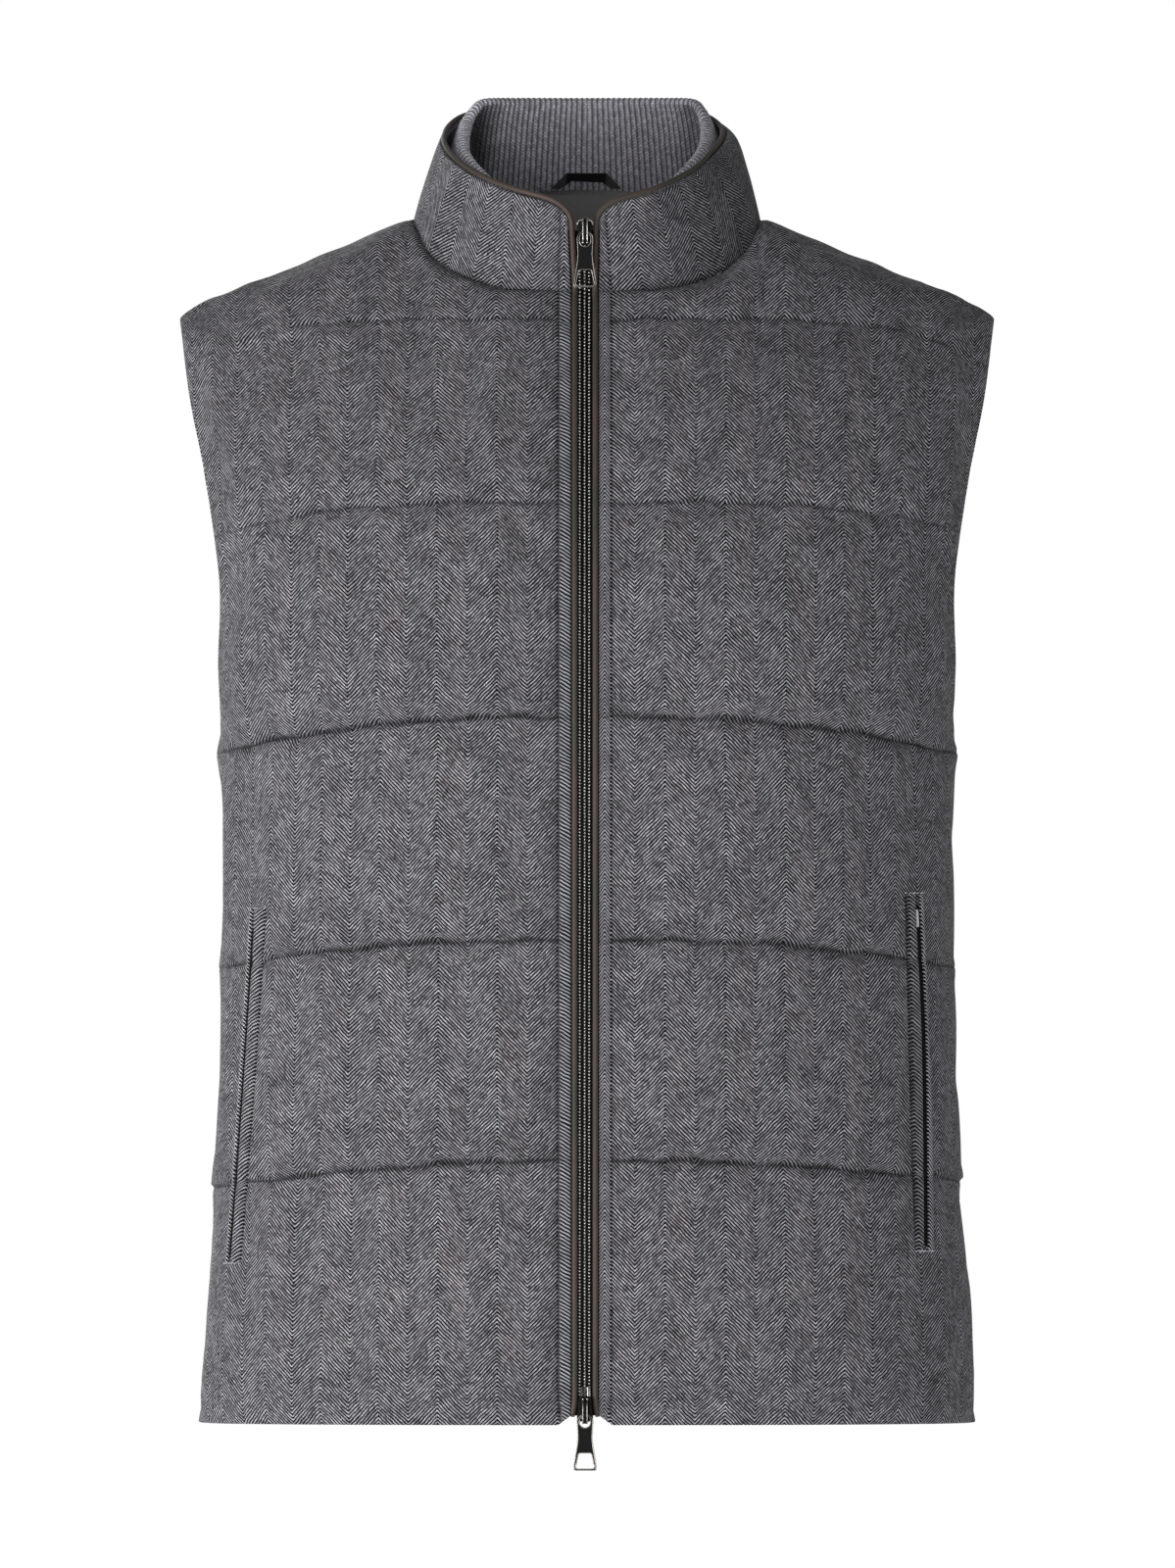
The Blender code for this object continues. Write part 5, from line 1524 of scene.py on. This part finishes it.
panel_trees = {side: tree_of(panels[side]) for side in (-1, 0, 1)}
pocket_ends = []
for side, ending in ((-1, "left"), (1, "right")):
    before, behind = SLIT[side]
    welt, welt_grid = pocket_strip("welt_cloth_" + ending, side, ((1, 0.0), (2, -before)), WELT_PROFILE,
                                   wool, WELT_PAINTED_SHADING[side], WELT_BOLD, WELT_WEAVE[side])
    lip, lip_grid = pocket_strip("lip_cloth_" + ending, side, ((2, behind), (3, 0.0)), LIP_PROFILE,
                                 wool, LIP_PAINTED_SHADING[side], LIP_BOLD, LIP_WEAVE[side])
    # The slit's black strip is painted shadow for the opening into the pocket.
    slit_span = (POCKETS[side][0, 0] + 0.003, POCKETS[side][-1, 0] - SLIT_CLOSED[side])
    slit_edges = ((2, -before - SLIT_OVER), (2, behind + SLIT_OVER))
    slit, _ = pocket_strip("slit_" + ending, side, slit_edges, SLIT_PROFILE, tape, span=slit_span)
    sewn_on(welt, "herringbone", "welt_" + ending)
    sewn_on(lip, "herringbone", "lip_" + ending)
    sewn_on(slit, "tape")
    pocket_ends += [(welt_grid[k], lip_grid[k]) for k in (0, -1)]
tab, _ = pocket_strip("slit_tab", 1, TAB_EDGES, TAB_PROFILE, pocketing, span=TAB_SPAN, sections=6)
sewn_on(tab, None)
print("pocket ends:", len(pocket_ends))

# %% [markdown]
# The hanger loop is a black tape with its two ends turned down and sewn in under the knit. It is
# a bent strip that leans on the knit's inside, so each of its points is brought in front of the
# ribs by a ray. Its legs are a lighter grey than the bar, a painted sheen.

# %% Hanger loop
LOOP_X, LOOP_THICK, LOOP_LIFT = -0.0005, 0.0010, 0.001
LOOP_OUTER = np.array((      # across, nothing, up the knit
    (-0.0198, 0.0, 0.0), (-0.0109, 0.0, 0.0088), (0.0115, 0.0, 0.0088), (0.0198, 0.0, 0.0)))
LOOP_INNER = np.array((
    (-0.0143, 0.0, 0.0), (-0.0083, 0.0, 0.0044), (0.0089, 0.0, 0.0036), (0.0143, 0.0, 0.0)))
LOOP_COLUMNS, LOOP_ROWS, LOOP_CLEAR, LOOP_LEG = 61, 5, 0.0002, 0.0112

lean = unit(knit_top[len(knit_top) // 2] - knit_foot[len(knit_foot) // 2])
base = knit_foot[len(knit_foot) // 2] + lean * LOOP_LIFT
inward = np.array((0.0, -lean[2], lean[1]))
outer_path = at_shares(LOOP_OUTER, np.linspace(0, 1, LOOP_COLUMNS))
inner_path = at_shares(LOOP_INNER, np.linspace(0, 1, LOOP_COLUMNS))
shares = np.linspace(0, 1, LOOP_ROWS)[:, None, None]
flat_loop = inner_path[None] * (1 - shares) + outer_path[None] * shares
loop_grid = base * (0, 1, 1) + flat_loop * (1, 0, 0) + (LOOP_X, 0, 0) + flat_loop[..., 2:] * lean
band_tree = tree_of(band)
nearest = 0.0
for point in loop_grid.reshape(-1, 3):
    hit = band_tree.ray_cast(Vector((point[0], 0.0, point[2])), Vector((0, 1, 0)))[0]
    if hit is not None:
        nearest = max(nearest, float((np.array(hit) - point) @ inward))
loop_grid = loop_grid + inward * (nearest + LOOP_CLEAR)
chart = np.stack((flat_loop[..., 0], flat_loop[..., 2]), axis=-1)
hanger = wall("hanger_tape", loop_grid, loop_grid + inward * LOOP_THICK, chart, (tape,))
centers = np.array([f.center.x - LOOP_X for f in hanger.data.polygons])
dress(hanger, tape, grey_tape, second=np.abs(centers) > LOOP_LEG)
sewn_on(hanger, "tape", "hanger_loop")

# %% [markdown]
# The stitches are the last of the sewing. The band beside the front edge is topstitched, each
# quilting line is a row of small dark stitches deep in its groove, and the pockets' ends are
# whipped with a lighter thread. One stitch is modelled as a small bead and copied along.

# %% Stitches
STITCH, STITCH_GAP, THREAD_RADIUS = 0.0022, 0.0010, 0.00022
TACKS, TACK_RADIUS, TACK_OUT, TACK_LEAN = 7, 0.00036, 0.0014, (0.0008, 0, 0.0004)


def stitch_copies(name, starts, ends, radius, look):
    """One modelled stitch, copied from each start to its end in a single mesh."""
    deselect()
    bpy.ops.mesh.primitive_uv_sphere_add(segments=5, ring_count=4, radius=1.0)
    one = bpy.context.object
    shape, faces = places(one), [np.array(f.vertices) for f in one.data.polygons]
    bpy.data.objects.remove(one)
    starts, ends = np.asarray(starts, float), np.asarray(ends, float)
    half = (ends - starts) / 2
    first = unit(np.cross(half, (0.31, 0.27, 0.91)))
    second = unit(np.cross(half, first))
    points = (starts + half)[:, None] + shape[None, :, 2:] * half[:, None]
    points = points + radius * (shape[None, :, :1] * first[:, None] + shape[None, :, 1:2] * second[:, None])
    mesh = bpy.data.meshes.new(name)
    copies = [tuple(face + k * len(shape)) for k in range(len(starts)) for face in faces]
    mesh.from_pydata(points.reshape(-1, 3), [], copies)
    piece = bpy.data.objects.new(name, mesh)
    scene.collection.objects.link(piece)
    consistent(piece)
    piece.data.shade_smooth()
    dress(piece, look)
    sewn_on(piece, None)
    return piece


def stitch_line(path, tree):
    """Starts and ends of the stitches along a path, brought onto a piece's surface."""
    run = run_of(path)
    count = int(run[-1] / (STITCH + STITCH_GAP))
    begin = (np.arange(count) + 0.15) * (STITCH + STITCH_GAP) / run[-1]
    sides = []
    for share in (begin, begin + STITCH / run[-1]):
        points = at_shares(path, share)
        sides.append([np.array(tree.find_nearest(Vector(point))[0]) for point in points])
    return sides


starts, ends = [], []
line_rows = np.cumsum(PUFF_ROWS)[:-1]
band_column = BAND_COLUMNS.index(BAND)
paths = []
for side in (-1, 1):
    _, grid, facing = fronts[side]
    paths.append((grid[:, band_column], panel_trees[side]))
    paths += [(grid[k, band_column:], panel_trees[side]) for k in line_rows]
paths += [(back_grid[k], panel_trees[0]) for k in line_rows]
collar_tree = tree_of(collar)
for sign in (1, -1):
    seam = [at_shares(r[::sign], np.array([BAND / run_of(r)[-1]]))[0] for r in collar_grid]
    paths.append((np.array(seam), collar_tree))
for path, tree in paths:
    first, last = stitch_line(path, tree)
    starts += first
    ends += last
seams = stitch_copies("seam_stitches", starts, ends, THREAD_RADIUS, dark_thread)
starts, ends = [], []
for welt_end, lip_end in pocket_ends:
    line = np.vstack((welt_end, lip_end)) - (0, TACK_OUT, 0)
    across = at_shares(line, np.linspace(0.04, 0.9, TACKS))
    starts += list(across - TACK_LEAN)
    ends += list(across + TACK_LEAN)
stitch_copies("pocket_tacks", starts, ends, TACK_RADIUS, thread)
print("stitches:", len(seams.data.polygons), "faces")
